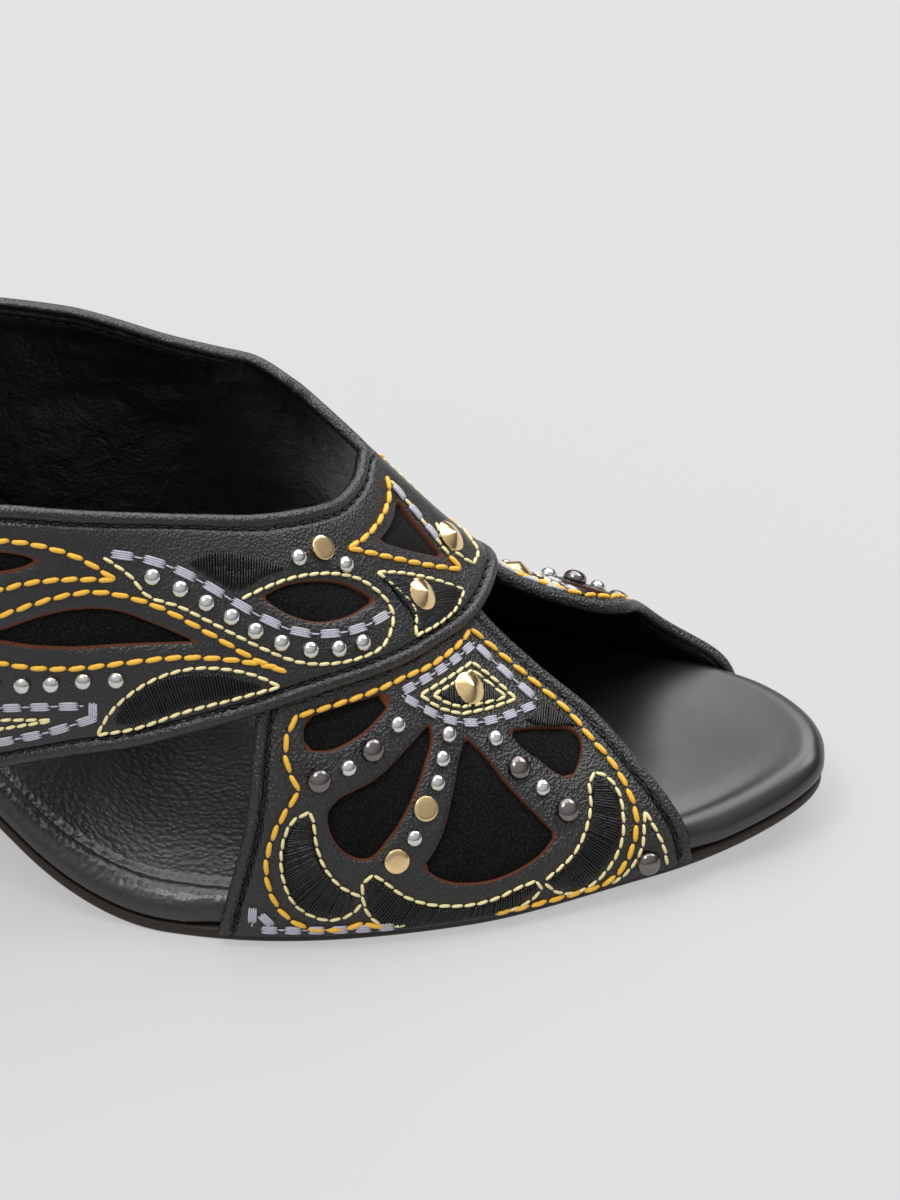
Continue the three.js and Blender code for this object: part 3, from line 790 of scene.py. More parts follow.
def makeStitchTree():
    row = threadShape
    tree, given = newTree("layStitches", (
        ("Width", "Float"), ("Height", "Float"), ("Strands", "Int"), ("Strand gap", "Float"),
        ("Ragged", "Float"), ("Material", "Material")))
    line = addNode(tree, "GeometryNodeCurvePrimitiveLine", {"Start": (-0.5, 0, 0), "End": (0.5, 0, 0)})
    fineLine = addNode(tree, "GeometryNodeResampleCurve", {"Count": row["samples"]},
                       {"Curve": line.outputs[0]})
    along = addNode(tree, "GeometryNodeSplineParameter").outputs["Factor"]
    fromMiddle = addNode(tree, "ShaderNodeMath", {"operation": "MULTIPLY_ADD", 1: 2.0, 2: -1.0}, {0: along})
    nearEnd = addNode(tree, "ShaderNodeMath", {"operation": "POWER", 1: row["bluntness"]},
                      {0: fromMiddle.outputs[0]})
    dip = addNode(tree, "ShaderNodeMath", {"operation": "MULTIPLY", 1: row["dip"]}, {0: nearEnd.outputs[0]})
    sunk = addNode(tree, "ShaderNodeCombineXYZ", {}, {"Z": dip.outputs[0]})
    arched = addNode(tree, "GeometryNodeSetPosition", {}, {
        "Geometry": fineLine.outputs[0], "Offset": sunk.outputs[0]})
    taper = addNode(tree, "ShaderNodeMath", {"operation": "MULTIPLY_ADD", 1: row["taper"], 2: 1.0},
                    {0: nearEnd.outputs[0]})
    profile = addNode(tree, "GeometryNodeCurvePrimitiveCircle", {"Resolution": row["sides"], "Radius": 0.5})
    thread = addNode(tree, "GeometryNodeCurveToMesh", {"Fill Caps": True}, {
        "Curve": arched.outputs[0], "Profile Curve": profile.outputs[0], "Scale": taper.outputs[0]})
    halfCount = addNode(tree, "ShaderNodeMath", {"operation": "MULTIPLY_ADD", 1: -0.5, 2: 0.5},
                        {0: given["Strands"]})
    firstStrand = addNode(tree, "ShaderNodeMath", {"operation": "MULTIPLY"},
                          {0: halfCount.outputs[0], 1: given["Strand gap"]})
    startPlace = addNode(tree, "ShaderNodeCombineXYZ", {}, {"Y": firstStrand.outputs[0]})
    gapVector = addNode(tree, "ShaderNodeCombineXYZ", {}, {"Y": given["Strand gap"]})
    strandPoints = addNode(tree, "GeometryNodeMeshLine", {}, {
        "Count": given["Strands"], "Start Location": startPlace.outputs[0], "Offset": gapVector.outputs[0]})
    shortest = addNode(tree, "ShaderNodeMath", {"operation": "SUBTRACT", 0: 1.0}, {1: given["Ragged"]})
    strandLength = addNode(tree, "FunctionNodeRandomValue", {
        "data_type": "FLOAT", 3: 1.0, "Seed": row["seed"]}, {2: shortest.outputs[0]})
    strandScale = addNode(tree, "ShaderNodeCombineXYZ", {"Y": 1.0, "Z": 1.0}, {"X": strandLength.outputs[1]})
    bundle = addNode(tree, "GeometryNodeInstanceOnPoints", {}, {
        "Points": strandPoints.outputs[0], "Instance": thread.outputs[0], "Scale": strandScale.outputs[0]})
    stitch = addNode(tree, "GeometryNodeRealizeInstances", {}, {"Geometry": bundle.outputs[0]})
    held = {}
    for name, kind in (("along", "FLOAT_VECTOR"), ("up", "FLOAT_VECTOR"), ("span", "FLOAT")):
        stored = addNode(tree, "GeometryNodeInputNamedAttribute", {"data_type": kind, "Name": name})
        held[name] = stored.outputs[0]
    turned = addNode(tree, "FunctionNodeAxesToRotation", {"primary_axis": "X", "secondary_axis": "Z"},
                     {"Primary Axis": held["along"], "Secondary Axis": held["up"]})
    size = addNode(tree, "ShaderNodeCombineXYZ", {}, {
        "X": held["span"], "Y": given["Width"], "Z": given["Height"]})
    laid = addNode(tree, "GeometryNodeInstanceOnPoints", {}, {
        "Points": given["Geometry"], "Instance": stitch.outputs[0], "Rotation": turned.outputs[0],
        "Scale": size.outputs[0]})
    return endTree(tree, laid, given["Material"])


studShape = {"rings": 14, "sides": 40, "weld": 1e-6}


def makeStudTree():  # a superellipse turned round: bulge near 1 a dome, well under 1 a flat, near 2 a cone
    rings, sides = studShape["rings"], studShape["sides"]
    tree, given = newTree("setStuds", (
        ("Radius", "Float"), ("Rim", "Float"), ("Rise", "Float"), ("Bulge", "Float"),
        ("Material", "Material")))
    sheet = addNode(tree, "GeometryNodeMeshGrid", {
        "Size X": 1.0, "Size Y": 1.0, "Vertices X": rings + 3, "Vertices Y": sides + 1})
    held = {name: given[name] for name in ("Radius", "Rim", "Rise", "Bulge")}
    held["index"] = addNode(tree, "GeometryNodeInputIndex").outputs[0]
    steps = (  # name, operation, values or names; ring 0 is the middle of the base, ring 1 its edge
        ("side", "MODULO", "index", float(sides + 1)),
        ("share", "DIVIDE", "index", float(sides + 1)),
        ("ring", "FLOOR", "share"),
        ("offCentre", "MINIMUM", "ring", 1.0),
        ("fromEdge", "SUBTRACT", "ring", 1.0),
        ("fromEdgeUp", "MAXIMUM", "fromEdge", 0.0),
        ("offBase", "MINIMUM", "fromEdgeUp", 1.0),
        ("fromRim", "SUBTRACT", "ring", 2.0),
        ("overRim", "MAXIMUM", "fromRim", 0.0),
        ("turnUp", "MULTIPLY", "overRim", math.pi / 2 / rings),
        ("turnRound", "MULTIPLY", "side", 2 * math.pi / sides),
        ("cosUp", "COSINE", "turnUp"),
        ("sinUp", "SINE", "turnUp"),
        ("cosUpSafe", "MAXIMUM", "cosUp", 0.0),
        ("outShare", "POWER", "cosUpSafe", "Bulge"),
        ("upShare", "POWER", "sinUp", "Bulge"),
        ("width", "MULTIPLY", "outShare", "Radius"),
        ("reach", "MULTIPLY", "width", "offCentre"),
        ("over", "MULTIPLY_ADD", "upShare", "Rise", "Rim"),
        ("height", "MULTIPLY", "over", "offBase"),
        ("cosRound", "COSINE", "turnRound"),
        ("sinRound", "SINE", "turnRound"),
        ("x", "MULTIPLY", "reach", "cosRound"),
        ("y", "MULTIPLY", "reach", "sinRound"),
    )
    for name, operation, *values in steps:
        numbers = {i: value for i, value in enumerate(values) if not isinstance(value, str)}
        links = {i: held[value] for i, value in enumerate(values) if isinstance(value, str)}
        held[name] = addNode(tree, "ShaderNodeMath", {"operation": operation, **numbers}, links).outputs[0]
    place = addNode(tree, "ShaderNodeCombineXYZ", {}, {"X": held["x"], "Y": held["y"], "Z": held["height"]})
    turned = addNode(tree, "GeometryNodeSetPosition", {}, {
        "Geometry": sheet.outputs[0], "Position": place.outputs[0]})
    closed = addNode(tree, "GeometryNodeMergeByDistance", {"Distance": studShape["weld"]},
                     {"Geometry": turned.outputs[0]})
    outward = addNode(tree, "GeometryNodeInputNamedAttribute", {"data_type": "FLOAT_VECTOR", "Name": "up"})
    axes = {"primary_axis": "Z", "secondary_axis": "X", "Secondary Axis": (1, 0, 0)}
    stand = addNode(tree, "FunctionNodeAxesToRotation", axes, {"Primary Axis": outward.outputs[0]})
    studs = addNode(tree, "GeometryNodeInstanceOnPoints", {}, {
        "Points": given["Geometry"], "Instance": closed.outputs[0], "Rotation": stand.outputs[0]})
    return endTree(tree, studs, given["Material"])


stitchTree = makeStitchTree()
studTree = makeStudTree()


def growNodes(name, tree, inputs, points, vectors, spans=None):  # runs a tree on points, keeps the plain mesh
    mesh = bpy.data.meshes.new(name)
    mesh.from_pydata((np.asarray(points) * mm).tolist(), [], [])
    for label, values in vectors.items():
        attribute = mesh.attributes.new(label, "FLOAT_VECTOR", "POINT")
        attribute.data.foreach_set("vector", np.asarray(values, np.float32).ravel())
    if spans is not None:
        attribute = mesh.attributes.new("span", "FLOAT", "POINT")
        attribute.data.foreach_set("value", np.asarray(spans, np.float32) * mm)
    piece = bpy.data.objects.new(name, mesh)
    scene.collection.objects.link(piece)
    modifier = piece.modifiers.new("grow", "NODES")
    modifier.node_group = tree
    for item in tree.interface.items_tree:
        if item.in_out == "INPUT" and item.name in inputs:
            modifier[item.identifier] = inputs[item.name]
    evaluated = piece.evaluated_get(bpy.context.evaluated_depsgraph_get())
    grown = bpy.data.meshes.new_from_object(evaluated)
    piece.modifiers.remove(modifier)
    piece.data = grown
    grown.name = name
    work = bmesh.new()
    work.from_mesh(grown)
    bmesh.ops.recalc_face_normals(work, faces=work.faces)
    work.to_mesh(grown)
    work.free()
    return piece


class StitchRun:  # stitches gathered for one piece
    def __init__(self):
        self.points, self.along, self.up, self.spans = [], [], [], []

    def add(self, start, end, up, lift, slant=0.0):
        length = np.linalg.norm(end - start, axis=1)
        along = (end - start) / length[:, None]
        self.points += list((start + end) / 2 + up * lift)
        self.along += list(along * math.cos(slant) + np.cross(up, along) * math.sin(slant))
        self.up += list(up)
        self.spans += list(length)

    def grow(self, name, inputs):
        vectors = {"along": self.along, "up": self.up}
        return growNodes(name, stitchTree, inputs, self.points, vectors, self.spans)


# Stitch sizes in millimetres. The share of the pitch is the thread's core: its rounded ends reach further.

stitchSettings = {
    "heavy": {"pitch": 2.85, "share": 0.63, "width": 0.82, "height": 0.75, "lift": 0.12, "slant": 0.09},
    "fine": {"pitch": 1.95, "share": 0.6, "width": 0.55, "height": 0.52, "lift": 0.08, "slant": 0.09},
    "bars": {"pitch": 4.75, "legPitch": 3.8, "share": 0.46, "width": 0.38, "height": 0.5, "lift": 0.13,
             "slant": 0, "strands": 4, "ragged": 0.14},
    "links": {"pitch": 4.75, "legPitch": 3.8, "share": 0.2, "width": 0.26, "height": 0.28, "lift": 0.06,
              "slant": 0, "shift": 0.5},
    "satin": {"pitch": 0.46, "width": 0.42, "height": 0.5, "lift": 0.08, "longest": 3.4, "shortest": 0.5,
              "uneven": 0.07, "split": (0.38, 0.62), "seed": 11},
    "seam": {"pitch": 2.3, "share": 0.54, "width": 0.4, "height": 0.36, "lift": -0.36, "slant": 0,
             "from": 2.15},
    "facing": {"pitch": 2.3, "share": 0.54, "width": 0.4, "height": 0.36, "lift": -0.02, "slant": 0,
               "from": 2.55},
}
strandGap = 0.84  # of a thread's width, where a stitch has several strands
fineSteps = 20  # places along each pitch where a stitch can begin or end
bandMargin = 0.6  # how far a leg's stitches run on under the front edge of the band
seamSamples = 500


def resampled(station, girth, strap, count):  # even places along a line on a strap
    length = lengthAlong(strapPoint(strap, station, girth, lastShape["wall"]))
    at = np.linspace(0, length[-1], count + 1)
    return np.interp(at, length, station), np.interp(at, length, girth)


def lineLength(station, girth, strap):
    return lengthAlong(strapPoint(strap, station, girth, lastShape["wall"]))[-1]


def outsideBand(station, girth):  # where the band doesn't cover a toe leg
    behindFront = station > strapEdge("band", "Front", girth) + bandMargin
    return ~(behindFront & (station < strapEdge("band", "Back", girth)))


def stitchLine(run, strap, station, girth, row, inside=False):
    pitch = row.get(strap + "Pitch", row["pitch"])
    count = max(1, round(lineLength(station, girth, strap) / pitch))
    at = np.arange(count) + row.get("shift", 0.0)
    fineStation, fineGirth = resampled(station, girth, strap, count * fineSteps)
    first = ((at + (1 - row["share"]) / 2) * fineSteps).round().astype(int).clip(0, count * fineSteps)
    final = ((at + (1 + row["share"]) / 2) * fineSteps).round().astype(int).clip(0, count * fineSteps)
    middle = (first + final) // 2
    kept = final > first
    if strap == "leg":
        kept &= outsideBand(fineStation[middle], fineGirth[middle])
    if kept.any():
        first, final, middle = first[kept], final[kept], middle[kept]
        height = 0 if inside else lastShape["wall"]
        up = lastNormal(fineStation[middle], fineGirth[middle]) * (-1 if inside else 1)
        start = strapPoint(strap, fineStation[first], fineGirth[first], height)
        end = strapPoint(strap, fineStation[final], fineGirth[final], height)
        run.add(start, end, up, row["lift"], row["slant"])


def threadInputs(kind, material):
    row = stitchSettings[kind]
    return {"Width": row["width"] * mm, "Height": row["height"] * mm, "Strands": row.get("strands", 1),
            "Strand gap": strandGap, "Ragged": row.get("ragged", 0.0), "Material": material}


def sewLines(name, kind, chartKind, material):
    run = StitchRun()
    for strap, strapStrokes in strokes.items():
        for station, girth in strapStrokes[chartKind]:
            stitchLine(run, strap, station, girth, stitchSettings[kind])
    return run.grow(name, threadInputs(kind, material))


def sewSatin(name):  # threads laid side by side from edge to edge of each petal, split where they are long
    row = stitchSettings["satin"]
    run = StitchRun()
    random = np.random.default_rng(row["seed"])
    for strap, chart in charts.items():
        for edges in chart["satin"].values():
            sides = [castToStrap(smoothStroke(edge), strap) for edge in edges]
            count = int(max(lineLength(*side, strap) for side in sides) / row["pitch"])
            sides = [resampled(*side, strap, count) for side in sides]
            layPetal(run, strap, sides, row, random)
            inner = [onInnerSide(strap, *side, innerMargins["line"]) for side in sides]
            layPetal(run, strap, inner, row, random)
    return run.grow(name, threadInputs("satin", satinThread))


def layPetal(run, strap, sides, row, random):
    start, end = (strapPoint(strap, *side, lastShape["wall"]) for side in sides)
    width = np.linalg.norm(end - start, axis=1)
    middlePlace = [(first + second) / 2 for first, second in zip(*sides)]
    middle = strapPoint(strap, *middlePlace, lastShape["wall"])
    up = lastNormal(*middlePlace)
    split = random.uniform(*row["split"], len(width))[:, None]
    swelling = np.sum((middle - (start + end) / 2) * up, 1)[:, None]
    ridge = start + (end - start) * split + up * swelling
    uneven = up * random.normal(0, row["uneven"], len(width))[:, None]
    start, end, ridge = start + uneven, end + uneven, ridge + uneven
    wide = width > row["longest"]
    short = (width > row["shortest"]) & ~wide
    run.add(start[short], end[short], up[short], row["lift"])
    run.add(start[wide], ridge[wide], up[wide], row["lift"])
    run.add(ridge[wide], end[wide], up[wide], row["lift"])


def sewSeams(name):  # beside every strap edge, and along the facing inside the collar
    run = StitchRun()
    girth = np.linspace(-castSettings["girthEnd"], castSettings["girthEnd"], seamSamples)
    seam, facing = stitchSettings["seam"], stitchSettings["facing"]
    for strap in charts:
        for end, sign in (("Front", 1), ("Back", -1)):
            station = strapEdge(strap, end, girth) + sign * seam["from"] * edgeStep(strap, end, girth)
            stitchLine(run, strap, station, girth, seam)
    station = strapEdge("band", "Back", girth) - facing["from"] * edgeStep("band", "Back", girth)
    stitchLine(run, "band", station, girth, facing, inside=True)
    return run.grow(name, threadInputs("seam", seamThread))


finishPiece(sewLines("heavy_stitches", "heavy", "heavy", heavyThread))
finishPiece(sewLines("fine_stitches", "fine", "fine", fineThread))
finishPiece(sewLines("bar_stitches", "bars", "bars", barThread))
finishPiece(sewLines("link_stitches", "links", "bars", barThread))
finishPiece(sewSatin("satin_stitches"))
finishPiece(sewSeams("seam_stitches"))


# Studs

studSettings = {
    "silver": {"Radius": 1.32, "Rim": 0.22, "Rise": 1.05, "Bulge": 0.94},
    "cone": {"Radius": 2.6, "Rim": 0.35, "Rise": 1.1, "Bulge": 1.75},
    "flat": {"Radius": 1.95, "Rim": 0.3, "Rise": 0.5, "Bulge": 0.4},
    "dome": {"Radius": 1.88, "Rim": 0.3, "Rise": 1.35, "Bulge": 0.94},
}
seatSettings = {"sink": 0.05, "solidMiddle": 1.0, "girthSteps": 401, "stationSteps": 161}


def setStuds(name, kind, material, seats):  # seats: strap, stations, girths
    inputs = {label: value if label == "Bulge" else value * mm for label, value in studSettings[kind].items()}
    height = lastShape["wall"] - seatSettings["sink"]
    points = np.concatenate([strapPoint(*seat, height) for seat in seats])
    up = np.concatenate([lastNormal(station, girth) for _, station, girth in seats])
    return growNodes(name, studTree, {**inputs, "Material": material}, points, {"up": up})


def silverSeats():
    seats = []
    for strap, chart in charts.items():
        station, girth = castToStrap(chart["silver"], strap)
        seats += [(strap, station, girth), (strap, *onInnerSide(strap, station, girth, innerMargins["stud"]))]
    return seats


def solidSeat(node):  # the place on a strap under a stud of the solids
    low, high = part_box(node)
    middle = np.array((low + high) / 2) / mm
    strap = "band" if "_band_" in node or "_centre_" in node else "leg"
    station, girth = strapGrid(strap, np.linspace(-1, 1, seatSettings["girthSteps"]),
                               np.linspace(0, 1, seatSettings["stationSteps"]))
    height = seatSettings["solidMiddle"] + lastShape["wall"]
    miss = np.linalg.norm(strapPoint(strap, station, girth, height) - middle, axis=-1)
    best = np.unravel_index(np.argmin(miss), miss.shape)
    return strap, station[best][None], girth[best][None]


finishPiece(setStuds("silver_studs", "silver", silverPlate, silverSeats()))
for kind, material, slot in (("cone", goldPlate, "stud_gold"), ("flat", goldPlate, "stud_gold"),
                             ("dome", gunmetalPlate, "stud_gunmetal")):
    nodes = sorted(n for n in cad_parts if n.startswith("stud_") and f"_{kind}" in n)
    studs = setStuds(f"{kind}_studs", kind, material, [solidSeat(node) for node in nodes])
    finishPiece(studs, slot, *nodes)


# Straps: outer leather with suede windows, rolled edges and lining, one closed shell each

strapSettings = {
    "edgeSteps": 440, "endSteps": 60, "spacing": 0.8, "planGirth": 75.0, "planStation": 1.15, "endClear": 0.3,
    "windowStep": 0.55, "checkStep": 0.04, "chamfer": 0.2, "chamferClear": 0.97, "chamferDrop": 0.24,
    "suedeHeight": 0.9, "suedePuff": 0.25, "puffWithin": 2.2, "stitchGroove": 0.13, "stitchGrooveWidth": 0.65,
    "windowDip": 0.16, "windowDipWidth": 0.9, "pressedHeight": 1.16, "pressedFrom": -0.2,
    "pressedWithin": 1.2, "creaseFrom": 4, "creaseFull": 9, "creaseEnd": 0.02, "sharpAngle": 50,
}
rollRows = np.array([  # rolled strap edge: distance from the edge, height of the outer face
    (0.0, 1.15), (0.1, 1.42), (0.28, 1.68), (0.55, 1.88), (0.9, 1.98), (1.25, 1.97), (1.55, 1.84), (1.8, 1.6),
    (2.0, 1.34), (2.15, 1.24), (2.3, 1.34), (2.5, 1.58), (2.7, 1.74), (2.9, 1.8),
])
foldRows = np.array([  # the same of the inner face, with the ridge of the folded facing
    (0.0, 0.6), (0.1, 0.36), (0.3, 0.14), (0.6, 0.04), (0.95, 0.1), (1.2, 0.14), (1.5, -0.1), (1.85, -0.22),
    (2.2, -0.12), (2.45, 0.1), (2.7, 0.12),
])
liningCreases = [  # soft folds of the lining: station and girth of both ends, depth, width
    (92, 0.44, 118, 0.66, 0.5, 2.0), (100, 0.42, 126, 0.62, 0.45, 1.6), (108, 0.47, 132, 0.7, 0.5, 2.2),
    (118, 0.55, 140, 0.72, 0.4, 1.6), (96, 0.56, 112, 0.72, 0.4, 1.8), (126, 0.62, 146, 0.8, 0.5, 2.2),
    (86, 0.36, 100, 0.52, 0.35, 1.5), (110, 0.62, 128, 0.8, 0.4, 1.7),
]
leatherFace, cutFace, liningFace, suedeFace = 0, 1, 2, 3
gridSettings = {"rowShare": 0.866, "clear": 0.55, "tolerance": 1e-5}


def planOf(station, girth):
    return np.stack([girth * strapSettings["planGirth"], station * strapSettings["planStation"]], axis=-1)


def evenLoop(plan, count=None, step=None):  # closed loop at even steps
    closed = np.concatenate([plan, plan[:1]])
    length = lengthAlong(closed)
    at = np.linspace(0, length[-1], count or max(12, round(length[-1] / step)), endpoint=False)
    return np.stack([np.interp(at, length, closed[:, k]) for k in (0, 1)], axis=-1)


def insetLoop(loop, inset):
    toNext, fromLast = np.roll(loop, -1, 0) - loop, loop - np.roll(loop, 1, 0)
    tangent = toNext / np.linalg.norm(toNext, axis=1)[:, None]
    tangent = tangent + fromLast / np.linalg.norm(fromLast, axis=1)[:, None]
    tangent /= np.linalg.norm(tangent, axis=1)[:, None]
    area = np.sum(loop[:, 0] * np.roll(loop[:, 1], -1) - loop[:, 1] * np.roll(loop[:, 0], -1))
    inward = np.stack([-tangent[:, 1], tangent[:, 0]], axis=-1) * np.sign(area)
    return loop + inward * inset


def loopEdges(start, count):
    return [(start + i, start + (i + 1) % count) for i in range(count)]


def looseGrid(loop, spacing):  # even points over a loop's box, every other row moved by half a step
    low, high = loop.min(0), loop.max(0)
    rows = np.arange(low[1], high[1], spacing * gridSettings["rowShare"])
    columns = np.arange(low[0], high[0], spacing)
    return np.array([(x + (j % 2) * spacing / 2, y) for j, y in enumerate(rows) for x in columns])


def clearOf(fixed, loose, spacing):
    return loose[nearestDistance(pointTree(fixed), loose) > gridSettings["clear"] * spacing]


def triangulate(plan, edges, kind):  # points, triangles and the given points behind each point
    found = delaunay_2d_cdt([Vector(p) for p in plan], edges, [], kind, gridSettings["tolerance"])
    return np.array([tuple(p) for p in found[0]]), np.array(found[2]), found[3]


def windowLoops(strap):  # each window's cut edge, and inside it the foot of its chamfer
    row = strapSettings
    loops = []
    for motif in charts[strap]["windows"].values():
        parts = [castToStrap(smoothStroke(stroke)[:-1], strap) for stroke in motif]
        station, girth = (np.concatenate([part[k] for part in parts]) for k in (0, 1))
        for place, around in ((station, girth), onInnerSide(strap, station, girth, innerMargins["window"])):
            outer = evenLoop(planOf(place, around), step=row["windowStep"])
            inner = insetLoop(outer, row["chamfer"])
            away = nearestDistance(pointTree(evenLoop(outer, step=row["checkStep"])), inner)
            kept = (away > row["chamferClear"] * row["chamfer"]) & insideLoop(inner, outer)
            kept &= np.roll(kept, 1) & np.roll(kept, -1)  # none crossed at sharp tips
            loops.append((outer, inner[kept]))
    return loops


def trough(tree, plan, depth, width):
    return depth * np.exp(-(nearestDistance(tree, plan) / width) ** 2)


def leatherRelief(strap, station, girth, grooveTree, windowTree):
    row = strapSettings
    plan = planOf(station, girth)
    rise = -trough(grooveTree, plan, row["stitchGroove"], row["stitchGrooveWidth"])
    rise -= trough(windowTree, plan, row["windowDip"], row["windowDipWidth"])
    if strap == "leg":  # pressed flat under the band
        inFront = (station - strapEdge("band", "Front", girth)) / edgeStep("band", "Front", girth)
        inBack = (strapEdge("band", "Back", girth) - station) / edgeStep("band", "Back", girth)
        under = smoothStep(np.minimum(inFront, inBack), row["pressedFrom"], row["pressedWithin"])
        rise -= under * (lastShape["wall"] - row["pressedHeight"])
    return rise


def creaseRelief(station, girth):
    plan = planOf(station, girth)
    rise = np.zeros(plan.shape[:-1])
    endShare = strapSettings["creaseEnd"]
    for fromStation, fromGirth, toStation, toGirth, depth, width in liningCreases:
        start = planOf(np.float64(fromStation), np.float64(fromGirth))
        line = planOf(np.float64(toStation), np.float64(toGirth)) - start
        t = np.clip(np.sum((plan - start) * line, axis=-1) / (line @ line), 0, 1)
        away = np.linalg.norm(plan - start - t[..., None] * line, axis=-1)
        rise += depth * np.exp(-(away / width) ** 2) * np.sin(np.pi * np.clip(t, endShare, 1 - endShare))
    return rise


class StrapShell:  # points and faces of one strap, gathered part by part
    def __init__(self):
        self.points, self.faces, self.kinds, self.total = [], [], [], 0

    def addPoints(self, points):
        start = self.total
        self.points.append(points)
        self.total += len(points)
        return start

    def addFace(self, kind, *corners):
        self.faces.append(tuple(int(i) for i in corners))
        self.kinds.append(kind)

    def addGrid(self, grid, kind):
        rows, columns = grid.shape[:2]
        start = self.addPoints(grid.reshape(-1, 3))
        for low in range(start, start + (rows - 1) * columns, columns):
            for c in range(low, low + columns - 1):
                self.addFace(kind, c, c + 1, c + columns + 1, c + columns)

    def addZip(self, top, topAt, bottom, bottomAt, kind):  # a strip between lines with points of their own
        high, low = self.addPoints(top), self.addPoints(bottom)
        i = j = 0
        while i < len(top) - 1 or j < len(bottom) - 1:
            if j == len(bottom) - 1 or (i < len(top) - 1 and topAt[i + 1] <= bottomAt[j + 1]):
                self.addFace(kind, high + i, high + i + 1, low + j)
                i += 1
            else:
                self.addFace(kind, high + i, low + j + 1, low + j)
                j += 1


def addOuterFace(shell, strap, frontLine, backLine, ends, loops, outerPoints):  # between the rolls
    row = strapSettings

    def within(plan):
        behind = plan[:, 1] > np.interp(plan[:, 0], frontLine[:, 0], frontLine[:, 1])
        return behind & (plan[:, 1] < np.interp(plan[:, 0], backLine[:, 0], backLine[:, 1]))

    border = np.concatenate([frontLine, ends[1], backLine[::-1], ends[0][::-1]])
    constraints = [border] + [loop for pair in loops for loop in pair]
    starts = np.cumsum([0] + [len(loop) for loop in constraints])
    edges = [edge for start, loop in zip(starts, constraints) for edge in loopEdges(int(start), len(loop))]
    fixed = np.concatenate(constraints)
    loose = looseGrid(border, row["spacing"])
    loose = loose[within(loose) & (np.abs(loose[:, 0]) < row["planGirth"] - row["endClear"] * row["spacing"])]
    plan = np.concatenate([fixed, clearOf(fixed, loose, row["spacing"])])
    plan, triangles, sources = triangulate(plan, edges, 0)
    centres = plan[triangles].mean(axis=1)
    kinds = np.full(len(triangles), leatherFace)
    for cut, foot in loops:
        kinds[insideLoop(centres, cut) & (kinds != suedeFace)] = cutFace
        kinds[insideLoop(centres, foot)] = suedeFace
    shown = within(centres) & (np.abs(centres[:, 0]) < row["planGirth"])
    placeOf = {source: i for i, group in enumerate(sources) for source in group}
    feet = [[placeOf[start + i] for i in range(len(loop))]
            for start, loop in zip(starts[2::2], constraints[2::2])]
    height = np.full(len(plan), lastShape["wall"])
    height[np.concatenate(feet)] -= row["chamferDrop"]
    footTree = pointTree(np.concatenate([foot for _, foot in loops]))
    puff = row["suedePuff"] * smoothStep(nearestDistance(footTree, plan), 0, row["puffWithin"])
    station, girth = plan[:, 1] / row["planStation"], plan[:, 0] / row["planGirth"]
    top = shell.addPoints(outerPoints(station, girth, height))
    floor = shell.addPoints(strapPoint(strap, station, girth, row["suedeHeight"] + puff))
    for triangle, kind in zip(triangles[shown], kinds[shown]):
        shell.addFace(kind, *(triangle + (floor if kind == suedeFace else top)))
    for places in feet:
        for a, b in zip(places, places[1:] + places[:1]):
            shell.addFace(cutFace, top + a, top + b, floor + b, floor + a)


